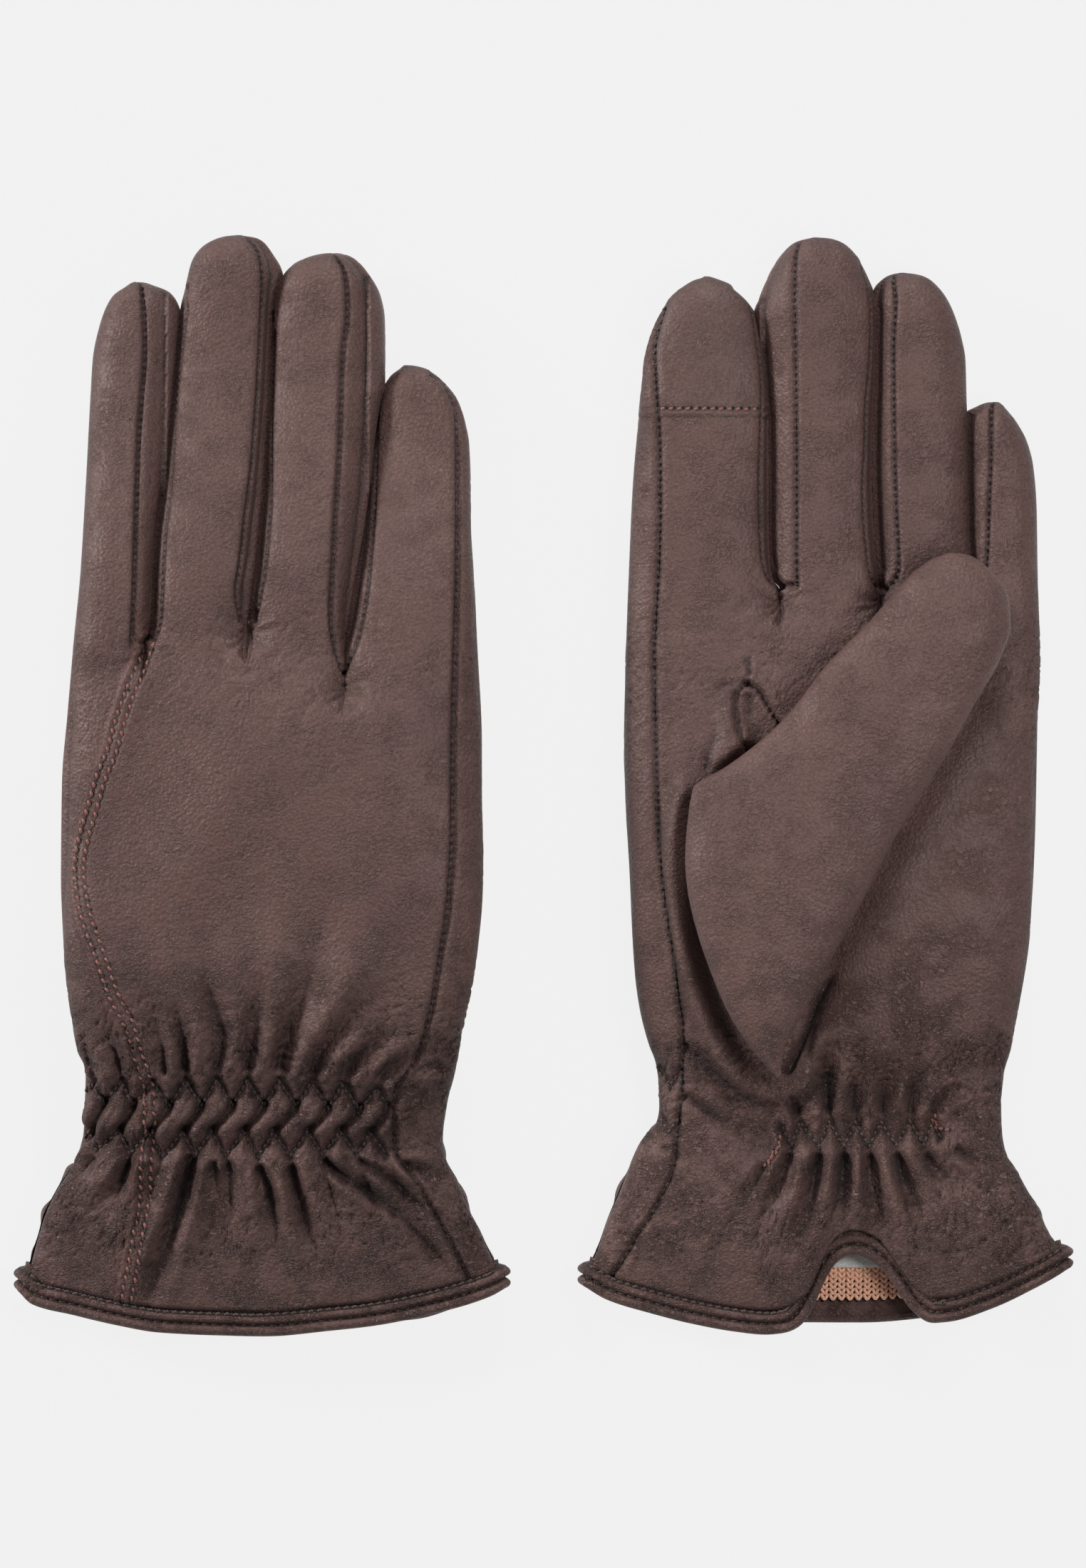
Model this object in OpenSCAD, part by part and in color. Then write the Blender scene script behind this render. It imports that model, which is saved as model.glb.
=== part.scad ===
// A pair of leather touchscreen gloves lying side by side: the right glove with its back up,
// the left glove with its palm up and its thumb folded across the palm.
// X runs across the pair, Y towards the fingertips and Z up from the surface the gloves lie on.
// The origin is the middle of the pair's footprint. Lengths are millimetres.

/* [Materials] */
// Thickness of the outer leather
leather_t = 1.0; // [0.8:0.1:1.1]
// Thickness of the knitted lining
lining_t = 1.1; // [0.9:0.1:1.2]
// Space between leather and lining, where the elastic lies
lining_space = 0.9; // [0.85:0.05:1.1]
// Thickness of the elastic tape
elastic_t = 0.45; // [0.3:0.05:0.5]
// Thickness of the woven size label
label_t = 0.4; // [0.3:0.1:0.5]

/* [Fingers] */
// Half of a finger's thickness
finger_half = 8; // [7.5:0.25:8.5]
// Free space between neighbouring fingers
finger_space = 0.5; // [0.4:0.1:0.7]
// Cut between the part of a finger that bends and the part that doesn't
bend_cut = 0.5; // [0.4:0.1:0.8]
// Squareness of a finger's section: 1 is an ellipse and smaller is squarer
finger_square = 0.75; // [0.6:0.05:1]

/* [Hand and cuff] */
// Squareness of the hand's section
hand_square = 0.6; // [0.5:0.05:1]
// Height of the rolled binding at the hem
binding_h = 4.4; // [3.8:0.2:5]
// Thickness of the rolled binding
binding_t = 3.4; // [3:0.2:3.8]
// Depth of the notch in the palm side of the cuff
notch_depth = 17.5; // [14:0.5:20]
// Half of the notch's width at the hem
notch_half = 17.5; // [15:0.5:20]

/* [Thumb] */
// Half of the thumb's thickness
thumb_half = 6.5; // [5.5:0.25:6.75]
// Space between the folded thumb and the palm
thumb_space = 0.5; // [0.4:0.1:0.8]

// Width of the passage from the palm into the thumb
thumb_hole_width = 10; // [6:0.5:10.5]
// Length of the passage along the thumb's base
thumb_hole_length = 40; // [30:1:44]

/* [Hidden] */
RIGHT = 0;
LEFT = 1;
GLOVES = ["right", "left"];
FINGERS = ["index", "middle", "ring", "little"];
INDEX = 0;
LITTLE = 3;

leather_colour = "#5f4a45";
touch_colour = "#5b4742";
binding_colour = "#543f3b";
lining_colour = "#b98a68";
elastic_colour = "#2b2422";
label_colour = "#d8d8d4";

lining_inset = leather_t + lining_space;
inner_inset = lining_inset + lining_t;
// Gap between the binding and what it is sewn to, and on each side of the elastic and the label
hem_space = 0.6;
sewn_space = 0.2;

// Nominal height along Y of the hem's corners, and of the wrist where the cuff starts to flare
hem_y = [-118, -115];
wrist_y = -88;
// Where the fingers leave the hand, and how far they reach back into it
root_y = [30, 42];
root_lap = 0.1;
// Height of the surface between palm and folded thumb
right_thumb_top = 2 * thumb_half;
left_thumb_bottom = 21.4;
// The left glove is the right one's mirror image, set this far along X
pair_shift = 131;

// Hand outline: nominal Y, index-side edge, little-side edge, middle height
hand_outline = [
    [[-118, -123.3, -8.8, 6.5], [-108, -119.4, -12.8, 7.8], [-98, -116, -17.5, 9.4],
     [-88, -109.6, -22.6, 11.6], [-78, -107.3, -23.1, 14.6], [-68, -106.7, -20.8, 19],
     [-55, -109.7, -18.5, 22], [-38, -111.5, -16.3, 24], [-20, -112.2, -14.9, 24.2],
     [0, -112, -14.2, 24.2], [18, -110.7, -14.5, 23.8], [33, -109.3, -15.3, 23.2]],
    [[-115, 9.4, 123.4, 6.5], [-108, 12.2, 120.7, 7.5], [-98, 16, 116.2, 8.5],
     [-88, 20.4, 109.3, 8.5], [-78, 27.2, 107.5, 8], [-68, 26.8, 108.2, 8.5],
     [-55, 23.3, 110.8, 9.5], [-38, 21.1, 113.2, 10.3], [-20, 20.2, 115.1, 10.5],
     [0, 19.1, 115.7, 10.5], [20, 19.2, 116, 9.8], [44, 19.9, 116, 8.4]]
];
// For the same rows: half thickness, then how far in from its edge each seam lies:
// the curved seam on the back, the index-side seam and the little-side seam
hand_seams = [
    [6.5, 22.3, 6.4, 7.2], [7.5, 21.2, 8.6, 8], [8.5, 20, 10.8, 8.5], [8.5, 15, 10.2, 9.9],
    [8, 13.2, 4.8, 11.5], [8.5, 11.1, 5.6, 11.7], [9.5, 11, 8.9, 8.2], [10.3, 6.2, 8.8, 7.4],
    [10.5, 3, 7.3, 6.8], [10.5, 6.7, 7.1, 6.8], [9.8, 11.4, 6.5, 6.1], [8.4, 16.1, 6.6, 4.9]
];
// How much further in the left glove's curved seam ends, at the crotch beside its wide index finger
back_seam_reach = 19;
// How far the hem sags between its corners on the back and on the palm, and the corners' own heights
hem_sag = [[10.8, 9.5], [11.2, 13.4]];
hem_corners = [[-118.3, -117.8], [-117.2, -113.3]];
notch_at = [0.56, 0.565];

// Finger outlines: Y, left edge, right edge, up to the shoulder where the rounded tip starts
finger_outline = [
    [[[30, -109.6, -92.8], [50, -107.7, -90.6], [66, -107, -88.4], [85, -106.3, -86.6],
      [100, -105.6, -85.7], [105, -104.9, -85.5]],
     [[30, -92.8, -69.2], [40, -91, -68.3], [50, -90.5, -67], [60, -89.4, -66], [71, -87.9, -65.2],
      [90, -86.3, -64], [112, -84.8, -63], [118, -83.3, -61.2]],
     [[30, -69.2, -46.4], [40, -68.3, -45], [50, -67, -43.5], [60, -66, -42], [71, -65.2, -40.8],
      [92, -63.9, -37.8], [100, -63.7, -37.4], [110, -63.2, -37.6]],
     [[30, -46.4, -15.4], [50, -43.5, -16.2], [60, -42, -16.8], [71, -40.8, -17], [80, -39.8, -17.3],
      [84, -39.3, -17.8]]],
    [[[42, 19.9, 55.4], [52, 20.2, 53.6], [60, 20.6, 53], [75, 21.3, 53], [90, 22.9, 52.3],
      [100, 24, 51.5]],
     [[42, 55.4, 79.6], [52, 53.6, 78.2], [60, 53, 77.6], [75, 53, 77], [90, 52.3, 77.4],
      [100, 51.5, 78], [110, 50.2, 78]],
     [[42, 79.6, 101.4], [52, 78.2, 100.5], [60, 77.6, 100.1], [75, 77, 99.6], [90, 77.4, 98.9],
      [103, 78.3, 98.3], [110, 78.1, 96.4]],
     [[42, 101.4, 116], [60, 100.1, 115.9], [70, 99.8, 115.5], [78, 99.7, 114.4]]]
];
finger_tip = [
    [[-94.3, 118.2], [-72.5, 129.2], [-50, 124.8], [-31, 98.7]],
    [[38, 119.1], [65, 128.7], [84.5, 120.3], [106.5, 90.1]]
];
// Where each finger bends
bend_y = [[66, 71, 68, 57], [74, 77, 73, 60]];
// The upper face's seams as shares of the finger's width, left and right
upper_seams = [
    [[0.1, 0.63], [0.03, 0.9], [0.04, 0.7], [0.03, 0.885]],
    [[0.165, 0.946], [0.25, 0.94], [0.21, 0.97], [0.33, 0.9]]
];
lower_seams = [0.12, 0.88];
// The touch panel covers the index fingertip's palm side from here on
touch_y = [86, 87.5];
tip_angles = [0, 28, 50, 68, 84];
tip_round = 0.85;
side_steps = 2;
face_steps = 4;

// Thumb outline on the left glove: upper edge, lower edge, bow of the row between them, half thickness
thumb_rows = [
    [[35.2, 0.5], [53.5, -68.5], 5.5, 4.6], [[41, 3.8], [56, -61], 4.5, 5.6],
    [[50, 10.5], [61, -51], 3, 6.2], [[58, 18], [68, -37.5], 1.5, 6.5],
    [[66, 28], [78, -18.5], 0.5, 6.5], [[74, 36.5], [89, 0.5], 0, 6.5],
    [[81, 44.5], [99.5, 18.5], 0, 6.4], [[87, 50.5], [106, 29], 0, 6],
    [[91, 53.2], [108.8, 38], 0, 5], [[95, 54], [107.6, 45], 0, 3.6], [[98.5, 53], [104.5, 49.2], 0, 1.9]
];
thumb_hole_at = [47.5, -27];
thumb_hole_turn = 14;
thumb_lining_inset = leather_t + 0.1;
thumb_square = 0.8;
thumb_steps = 12;

GLOVE_PARTS = concat(
    ["back_panel", "side_panel", "palm_panel", "thumb_gusset", "base_fourchettes", "cuff_binding",
     "wrist_elastic", "palm_elastic", "hand_lining", "size_label", "index_touch_tip",
     "thumb_leather", "thumb_lining"],
    [for (f = FINGERS, p = ["back", "palm", "fourchettes", "lining"]) str(f, "_", p)]
);

// ---------- numbers ----------
function mix(a, b, t) = a + (b - a) * t;
function clamp01(t) = min(1, max(0, t));
function smooth(t) = let (c = clamp01(t)) c * c * (3 - 2 * c);
function signed_power(v, p) = sign(v) * pow(abs(v), p);
// The row of a table at y, its first column rising
function table_row(rows, y, i = 0) =
    (i >= len(rows) - 2 || y <= rows[i + 1][0])
        ? mix(rows[i], rows[i + 1], (y - rows[i][0]) / (rows[i + 1][0] - rows[i][0]))
        : table_row(rows, y, i + 1);

// ---------- solids from grids of points ----------
function flat_list(grid) = [for (row = grid, p = row) p];

// A sheet with thickness: outer and inner are grids of points, row by row
module sheet(outer, inner) {
    n = len(outer[0]);
    m = len(outer);
    k = n * m;
    function at(r, c) = r * n + c;
    polyhedron(
        points = concat(flat_list(outer), flat_list(inner)),
        faces = concat(
            [for (r = [0:m - 2], c = [0:n - 2]) [at(r, c), at(r, c + 1), at(r + 1, c + 1), at(r + 1, c)]],
            [for (r = [0:m - 2], c = [0:n - 2])
                [k + at(r, c), k + at(r + 1, c), k + at(r + 1, c + 1), k + at(r, c + 1)]],
            [for (c = [0:n - 2]) [at(0, c + 1), at(0, c), k + at(0, c), k + at(0, c + 1)]],
            [for (c = [0:n - 2]) [at(m - 1, c), at(m - 1, c + 1), k + at(m - 1, c + 1), k + at(m - 1, c)]],
            [for (r = [0:m - 2]) [at(r, 0), at(r + 1, 0), k + at(r + 1, 0), k + at(r, 0)]],
            [for (r = [0:m - 2])
                [at(r + 1, n - 1), at(r, n - 1), k + at(r, n - 1), k + at(r + 1, n - 1)]]),
        convexity = 8);
}

// A tube with a wall: grids of rings. Its first end is open, and its last is closed if closed is true
module tube(outer, inner, closed) {
    n = len(outer[0]);
    m = len(outer);
    k = n * m;
    function at(r, c) = r * n + c % n;
    polyhedron(
        points = concat(flat_list(outer), flat_list(inner)),
        faces = concat(
            [for (r = [0:m - 2], c = [0:n - 1]) [at(r, c), at(r, c + 1), at(r + 1, c + 1), at(r + 1, c)]],
            [for (r = [0:m - 2], c = [0:n - 1])
                [k + at(r, c), k + at(r + 1, c), k + at(r + 1, c + 1), k + at(r, c + 1)]],
            [for (c = [0:n - 1]) [at(0, c + 1), at(0, c), k + at(0, c), k + at(0, c + 1)]],
            closed
                ? [[for (c = [0:n - 1]) at(m - 1, c)], [for (c = [n - 1:-1:0]) k + at(m - 1, c)]]
                : [for (c = [0:n - 1])
                    [at(m - 1, c), at(m - 1, c + 1), k + at(m - 1, c + 1), k + at(m - 1, c)]]),
        convexity = 8);
}

function steps_between(a, b, n) = [for (i = [0:n]) mix(a, b, i / n)];
function ring_angles(n) = [for (i = [0:n - 1]) 360 * i / n];

// ---------- hand and cuff ----------
// The hand at nominal y: y, left edge, right edge, middle height, half thickness and the three seam offsets
function hand_row(g, y) = table_row([for (i = [0:len(hand_seams) - 1])
    concat(hand_outline[g][i], hand_seams[i])], y);
function hem_at(g, u, palm) =
    mix(hem_corners[g][0], hem_corners[g][1], u)
    - hem_sag[g][palm ? 1 : 0] * (1 - pow(abs(2 * u - 1), 2.2))
    + (palm ? notch_bump(g, u) : 0);
function notch_bump(g, u) =
    let (width = hand_outline[g][0][2] - hand_outline[g][0][1],
         d = abs(u - notch_at[g]) * width / notch_half)
    d < 1 ? notch_depth * (1 + cos(180 * d)) / 2 : 0;
function is_palm(g, angle) = (g == RIGHT) == (sin(angle) < 0);
function hand_point(g, row, angle, inset, lift = binding_h + hem_space) =
    let (half = (row[2] - row[1]) / 2,
         x = (row[1] + row[2]) / 2 + (half - inset) * signed_power(cos(angle), hand_square),
         u = (x - row[1]) / (row[2] - row[1]),
         t = clamp01((wrist_y - row[0]) / (wrist_y - hem_y[g])),
         y = t > 0 ? mix(wrist_y, hem_at(g, u, is_palm(g, angle)) + lift, t) : row[0])
    [x, y, row[3] + (row[4] - inset) * signed_power(sin(angle), hand_square)];
function angle_at(row, x, square) =
    let (c = (2 * x - row[1] - row[2]) / (row[2] - row[1]))
    acos(signed_power(min(1, max(-1, c)), 1 / square));

// Ring angles of the hand's seams at a row: little side, curved back seam, index side
function hand_seam_angles(g, row) =
    let (to_crotch = g == LEFT ? back_seam_reach * smooth((row[0] + 10) / 54) : 0,
         back = angle_at(row, row[1] + row[5] + to_crotch, hand_square),
         index = angle_at(row, row[1] + row[6], hand_square),
         little = angle_at(row, row[2] - row[7], hand_square))
    g == RIGHT ? [little, back, 360 - index] : [-little, 360 - back, index];
function hand_span(g, row, part) =
    let (s = hand_seam_angles(g, row))
    part == "back_panel" ? (g == RIGHT ? [s[0], s[1]] : [s[1], 360 + s[0]])
    : part == "side_panel" ? (g == RIGHT ? [s[1], s[2]] : [s[2], s[1]])
    : (g == RIGHT ? [s[2], 360 + s[0]] : [s[0], s[2]]);
function hand_rows(g, short = 0) = [for (i = [0:len(hand_outline[g]) - 1])
    hand_row(g, hand_outline[g][i][0] - (i == len(hand_outline[g]) - 1 ? short : 0))];
function hand_grid(g, part, steps, inset) =
    [for (row = hand_rows(g))
        let (span = hand_span(g, row, part))
        [for (a = steps_between(span[0], span[1], steps)) hand_point(g, row, a, inset)]];

module hand_sheet(g, part) {
    sheet(hand_grid(g, part, hand_steps(part), 0), hand_grid(g, part, hand_steps(part), leather_t));
}
function hand_steps(part) = part == "back_panel" ? 8 : part == "side_panel" ? 5 : 12;
// The ring angles of all three panels at a row, so that what lies under the leather has the same facets
function all_but_last(v) = [for (i = [0:len(v) - 2]) v[i]];
function hand_ring(g, row) =
    let (order = g == RIGHT ? ["back_panel", "side_panel", "palm_panel"]
                            : ["palm_panel", "side_panel", "back_panel"])
    [for (part = order)
        let (span = hand_span(g, row, part))
        each all_but_last(steps_between(span[0], span[1], hand_steps(part)))];

// A patch of the hand between two heights and two places across, at a depth under the leather's face
module hand_patch(g, y_list, x_span, top, inset, thick, steps) {
    function patch_grid(depth) = [for (y = y_list)
        let (row = hand_row(g, y),
             a0 = angle_at(row, x_span[1], hand_square),
             a1 = angle_at(row, x_span[0], hand_square),
             span = top ? [a0, a1] : [360 - a1, 360 - a0])
        [for (a = steps_between(span[0], span[1], steps)) hand_point(g, row, a, depth)]];
    sheet(patch_grid(inset), patch_grid(inset + thick));
}

// ---------- fingers ----------
// Height of a finger's middle: the left glove's fingers lie flat, the right one's come down to the surface
function finger_height(g, f, y) =
    g == LEFT ? finger_half
    : mix(23, finger_half + 0.2, smooth((y - 36) / (finger_tip[g][f][1] - 46)));
// A row of a finger: y, centre, half width, middle height, scale and share of the tip
function body_row(g, f, y) =
    let (r = table_row(finger_outline[g][f], y))
    [y, (r[1] + r[2]) / 2, (r[2] - r[1] - finger_space) / 2, finger_height(g, f, y), 1, 0];
function shoulder(g, f) = let (o = finger_outline[g][f]) o[len(o) - 1][0];
function tip_row(g, f, angle) =
    let (base = body_row(g, f, shoulder(g, f)), tip = finger_tip[g][f])
    [mix(base[0], tip[1], sin(angle)), mix(base[1], tip[0], 1 - cos(angle)), base[2],
     finger_height(g, f, mix(base[0], tip[1], sin(angle))), pow(cos(angle), tip_round), sin(angle)];
function finger_rows(g, f, from, to) = concat(
    [body_row(g, f, from)],
    [for (r = finger_outline[g][f])
        if (r[0] > from + 2 && r[0] < min(to, shoulder(g, f)) - 2) body_row(g, f, r[0])],
    to < shoulder(g, f) ? [body_row(g, f, to)] : [for (a = tip_angles) tip_row(g, f, a)]
);
function finger_point(row, angle, inset) = [
    row[1] + (row[2] - inset) * row[4] * signed_power(cos(angle), finger_square),
    row[0] - inset * row[5],
    row[3] + (finger_half - inset) * row[4] * signed_power(sin(angle), finger_square)];
function share_angle(q) = acos(signed_power(2 * q - 1, 1 / finger_square));

// Ring angles of a finger's seams: upper right, upper left, lower left, lower right.
// The index finger has one seam on its outer side and so has the little finger: there the leather wraps round
function finger_seams(g, f) =
    let (q = upper_seams[g][f],
         upper_right = share_angle(q[1]), upper_left = share_angle(q[0]),
         lower_left = 360 - share_angle(lower_seams[0]), lower_right = 360 - share_angle(lower_seams[1]),
         left = f == INDEX ? (g == RIGHT ? [lower_left, lower_left] : [upper_left, upper_left])
                           : [upper_left, lower_left],
         right = f != LITTLE ? [upper_right, lower_right]
               : g == RIGHT ? [upper_right, 360 + upper_right] : [lower_right - 360, lower_right])
    [right[0], left[0], left[1], right[1]];
function face_span(g, f, face) =
    let (s = finger_seams(g, f), upper = (face == "back") == (g == RIGHT))
    upper ? [s[0], s[1]] : [s[2], s[3]];

module finger_sheet(g, f, from, to, span, steps) {
    rows = finger_rows(g, f, from, to);
    angles = steps_between(span[0], span[1], steps);
    sheet([for (r = rows) [for (a = angles) finger_point(r, a, 0)]],
          [for (r = rows) [for (a = angles) finger_point(r, a, leather_t)]]);
}
module finger_face(g, f, face, from, to) {
    finger_sheet(g, f, from, to, face_span(g, f, face), face_steps);
}
// The strips between a finger's back and palm
module finger_sides(g, f, from, to) {
    s = finger_seams(g, f);
    if (f != INDEX) finger_sheet(g, f, from, to, [s[1], s[2]], side_steps);
    if (f != LITTLE) finger_sheet(g, f, from, to, [s[3], 360 + s[0]], side_steps);
}
// The ring angles of a finger's faces and sides together
function finger_ring(g, f) =
    let (s = finger_seams(g, f))
    concat(all_but_last(steps_between(s[0], s[1], face_steps)),
           s[2] > s[1] + 1 ? all_but_last(steps_between(s[1], s[2], side_steps)) : [],
           all_but_last(steps_between(s[2], s[3], face_steps)),
           360 + s[0] > s[3] + 1 ? all_but_last(steps_between(s[3], 360 + s[0], side_steps)) : []);
module finger_tube(g, f, from, to) {
    rows = finger_rows(g, f, from, to);
    angles = finger_ring(g, f);
    tube([for (r = rows) [for (a = angles) finger_point(r, a, lining_inset)]],
         [for (r = rows) [for (a = angles) finger_point(r, a, inner_inset)]],
         to > shoulder(g, f));
}
function finger_start(g, f) = bend_y[g][f] + bend_cut / 2;
function root_end(g, f) = bend_y[g][f] - bend_cut / 2;
function finger_end(g, f) = finger_tip[g][f][1];

// The part of a finger below its bend, which belongs to the hand
module finger_root(g, f, face) {
    finger_face(g, f, face, hand_end(g) - root_lap, root_end(g, f));
}
function hand_end(g) = hand_outline[g][len(hand_outline[g]) - 1][0];

// The passage from the palm into the folded thumb: a slot along the thumb's base
module thumb_passage(g) {
    reach = (thumb_hole_length - thumb_hole_width) / 2;
    shift = g == LEFT ? 0 : -pair_shift;
    join = g == LEFT ? left_thumb_bottom : right_thumb_top + thumb_space;
    translate([thumb_hole_at[0] + shift, thumb_hole_at[1], join - (g == LEFT ? 7 : 4.5)])
        rotate([0, 0, thumb_hole_turn])
            linear_extrude(11.5) {
                square([thumb_hole_width, 2 * reach], center = true);
                translate([0, reach]) circle(d = thumb_hole_width);
                translate([0, -reach]) circle(d = thumb_hole_width);
            }
}

// ---------- leather of the hand ----------
module back_panel(g) {
    color(leather_colour) {
        hand_sheet(g, "back_panel");
        for (f = [1:LITTLE]) finger_root(g, f, "back");
    }
}
module side_panel(g) {
    color(leather_colour) {
        hand_sheet(g, "side_panel");
        finger_root(g, INDEX, "back");
    }
}
module palm_panel(g) {
    color(leather_colour) {
        difference() {
            hand_sheet(g, "palm_panel");
            thumb_passage(g);
        }
        for (f = [INDEX:LITTLE]) finger_root(g, f, "palm");
    }
}
module base_fourchettes(g) {
    color(leather_colour)
        for (f = [INDEX:LITTLE]) finger_sides(g, f, hand_end(g) + root_lap, root_end(g, f));
}
// The small pointed gusset where the thumb leaves the palm
module thumb_gusset(g) {
    shift = g == LEFT ? 0 : -pair_shift;
    color(leather_colour)
        hand_patch(g, [8, 12, 17, 22], [45 + shift, 52 + shift], g == LEFT, -1.2, 1.1, 2);
}

// ---------- hem, elastics, label ----------
module cuff_binding(g) {
    row = hand_row(g, hem_y[g]);
    loop = [for (a = hand_ring(g, row)) hand_point(g, row, a, binding_t / 2, binding_h / 2)];
    centre = [(row[1] + row[2]) / 2, 0, row[3]];
    n = len(loop);
    section = ring_angles(6);
    // Each ring stands across the loop, in the plane of Y and the direction out from the middle
    function out(i) =
        let (along = loop[(i + 1) % n] - loop[(i + n - 1) % n], v = [-along[2], 0, along[0]])
        -v / norm(v);
    rings = [for (i = [0:n - 1]) [for (s = section)
        loop[i] + out(i) * cos(s) * binding_t / 2 + [0, sin(s) * binding_h / 2, 0]]];
    m = len(section);
    color(binding_colour)
        polyhedron(
            points = flat_list(rings),
            faces = [for (i = [0:n - 1], j = [0:m - 1])
                [i * m + j, i * m + (j + 1) % m, ((i + 1) % n) * m + (j + 1) % m, ((i + 1) % n) * m + j]],
            convexity = 8);
}
// The tape behind the two zigzag rows across the back of the wrist
module wrist_elastic(g) {
    span = g == RIGHT ? [-105.5, -36] : [29, 95];
    color(elastic_colour)
        hand_patch(g, [-86, -82, -78, -74, -69], span, g == RIGHT,
                   leather_t + sewn_space, elastic_t, 8);
}
// The narrow tape behind the single row across the palm side
module palm_elastic(g) {
    shift = g == LEFT ? 0 : -pair_shift;
    color(elastic_colour)
        hand_patch(g, [-84.5, -78], [54 + shift, 93 + shift], g == LEFT,
                   leather_t + sewn_space, elastic_t, 6);
}
module size_label(g) {
    shift = g == LEFT ? 0 : -pair_shift;
    color(label_colour)
        hand_patch(g, [-103, -96], [62 + shift, 84 + shift], g == RIGHT,
                   inner_inset + sewn_space, label_t, 3);
}

// ---------- lining ----------
module hand_lining(g) {
    rows = hand_rows(g, 2 * root_lap);
    color(lining_colour) {
        difference() {
            tube([for (r = rows) [for (a = hand_ring(g, r)) hand_point(g, r, a, lining_inset)]],
                 [for (r = rows) [for (a = hand_ring(g, r)) hand_point(g, r, a, inner_inset)]], false);
            thumb_passage(g);
        }
        for (f = [INDEX:LITTLE]) finger_tube(g, f, hand_end(g) + root_lap, root_end(g, f));
    }
}

// ---------- thumb ----------
function thumb_point(g, r, angle, inset) =
    let (row = thumb_rows[r],
         across = row[1] - row[0],
         width = norm(across),
         d = across / width,
         side = [d[1], -d[0]],
         s = (1 + signed_power(cos(angle), thumb_square) * (1 - 2 * inset / width)) / 2,
         spot = mix(row[0], row[1], s) + side * row[2] * (1 - pow(2 * s - 1, 2)),
         tip = r > len(thumb_rows) - 4 ? (r - len(thumb_rows) + 4) / 3 : 0,
         back = [d[1], -d[0]] * inset * tip,
         half = max(row[3] - inset, 0.3),
         middle = r < 5 ? row[3] : thumb_half,
         z = middle + half * signed_power(sin(angle), thumb_square))
    g == LEFT ? [spot[0] + back[0], spot[1] + back[1], left_thumb_bottom + thumb_space + z]
              : [spot[0] + back[0] - pair_shift, spot[1] + back[1], right_thumb_top - z];
function thumb_rings(g, inset, last) =
    [for (r = [0:last]) [for (i = [0:thumb_steps - 1])
        let (a = (g == LEFT ? -1 : 1) * 360 * i / thumb_steps) thumb_point(g, r, a, inset)]];
module thumb_leather(g) {
    last = len(thumb_rows) - 1;
    color(leather_colour)
        difference() {
            tube(thumb_rings(g, 0, last), thumb_rings(g, leather_t, last), true);
            thumb_passage(g);
        }
}
module thumb_lining(g) {
    last = len(thumb_rows) - 2;
    color(lining_colour)
        difference() {
            tube(thumb_rings(g, thumb_lining_inset, last),
                 thumb_rings(g, thumb_lining_inset + lining_t, last), true);
            thumb_passage(g);
        }
}

// ---------- the pair ----------
module part(g, name) {
    if (name == "back_panel") back_panel(g);
    if (name == "side_panel") side_panel(g);
    if (name == "palm_panel") palm_panel(g);
    if (name == "thumb_gusset") thumb_gusset(g);
    if (name == "base_fourchettes") base_fourchettes(g);
    if (name == "cuff_binding") cuff_binding(g);
    if (name == "wrist_elastic") wrist_elastic(g);
    if (name == "palm_elastic") palm_elastic(g);
    if (name == "hand_lining") hand_lining(g);
    if (name == "size_label") size_label(g);
    if (name == "thumb_leather") thumb_leather(g);
    if (name == "thumb_lining") thumb_lining(g);
    if (name == "index_touch_tip")
        color(touch_colour) finger_face(g, INDEX, "palm", touch_y[g], finger_end(g, INDEX));
    for (f = [INDEX:LITTLE]) {
        start = finger_start(g, f);
        end = finger_end(g, f);
        if (name == str(FINGERS[f], "_back"))
            color(leather_colour) finger_face(g, f, "back", start, end);
        if (name == str(FINGERS[f], "_palm"))
            color(leather_colour) finger_face(g, f, "palm", start, f == INDEX ? touch_y[g] : end);
        if (name == str(FINGERS[f], "_fourchettes"))
            color(leather_colour) finger_sides(g, f, start, end);
        if (name == str(FINGERS[f], "_lining"))
            color(lining_colour) finger_tube(g, f, start, end);
    }
}

for (g = [RIGHT, LEFT])
    for (p = GLOVE_PARTS)
        part(g, p);
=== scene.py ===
import math
import bpy
import numpy as np
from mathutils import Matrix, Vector
from mathutils.bvhtree import BVHTree


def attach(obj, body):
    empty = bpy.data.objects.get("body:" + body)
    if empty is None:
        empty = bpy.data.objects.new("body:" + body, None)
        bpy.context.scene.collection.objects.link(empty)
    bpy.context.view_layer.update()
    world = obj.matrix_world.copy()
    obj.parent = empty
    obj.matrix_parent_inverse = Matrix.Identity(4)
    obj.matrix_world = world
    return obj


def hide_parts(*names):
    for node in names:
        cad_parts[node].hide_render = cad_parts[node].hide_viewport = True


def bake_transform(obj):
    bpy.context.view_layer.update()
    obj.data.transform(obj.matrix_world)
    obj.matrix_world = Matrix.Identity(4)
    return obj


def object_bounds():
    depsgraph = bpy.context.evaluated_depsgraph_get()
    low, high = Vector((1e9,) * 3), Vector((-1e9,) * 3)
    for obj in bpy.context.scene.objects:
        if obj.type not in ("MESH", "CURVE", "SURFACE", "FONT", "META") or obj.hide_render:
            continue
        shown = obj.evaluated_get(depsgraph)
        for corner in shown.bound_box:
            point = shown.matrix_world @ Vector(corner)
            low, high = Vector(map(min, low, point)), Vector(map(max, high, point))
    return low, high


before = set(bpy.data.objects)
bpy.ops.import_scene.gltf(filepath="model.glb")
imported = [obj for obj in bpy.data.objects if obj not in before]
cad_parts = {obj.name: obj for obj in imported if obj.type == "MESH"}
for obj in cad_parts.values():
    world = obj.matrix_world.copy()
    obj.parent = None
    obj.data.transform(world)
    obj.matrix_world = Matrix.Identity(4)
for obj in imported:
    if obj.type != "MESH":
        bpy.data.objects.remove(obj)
cad_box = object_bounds()
MM = 0.001
PAIR_SHIFT = 131  # from a point of the right glove to the same point of the left one, in mm
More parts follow.
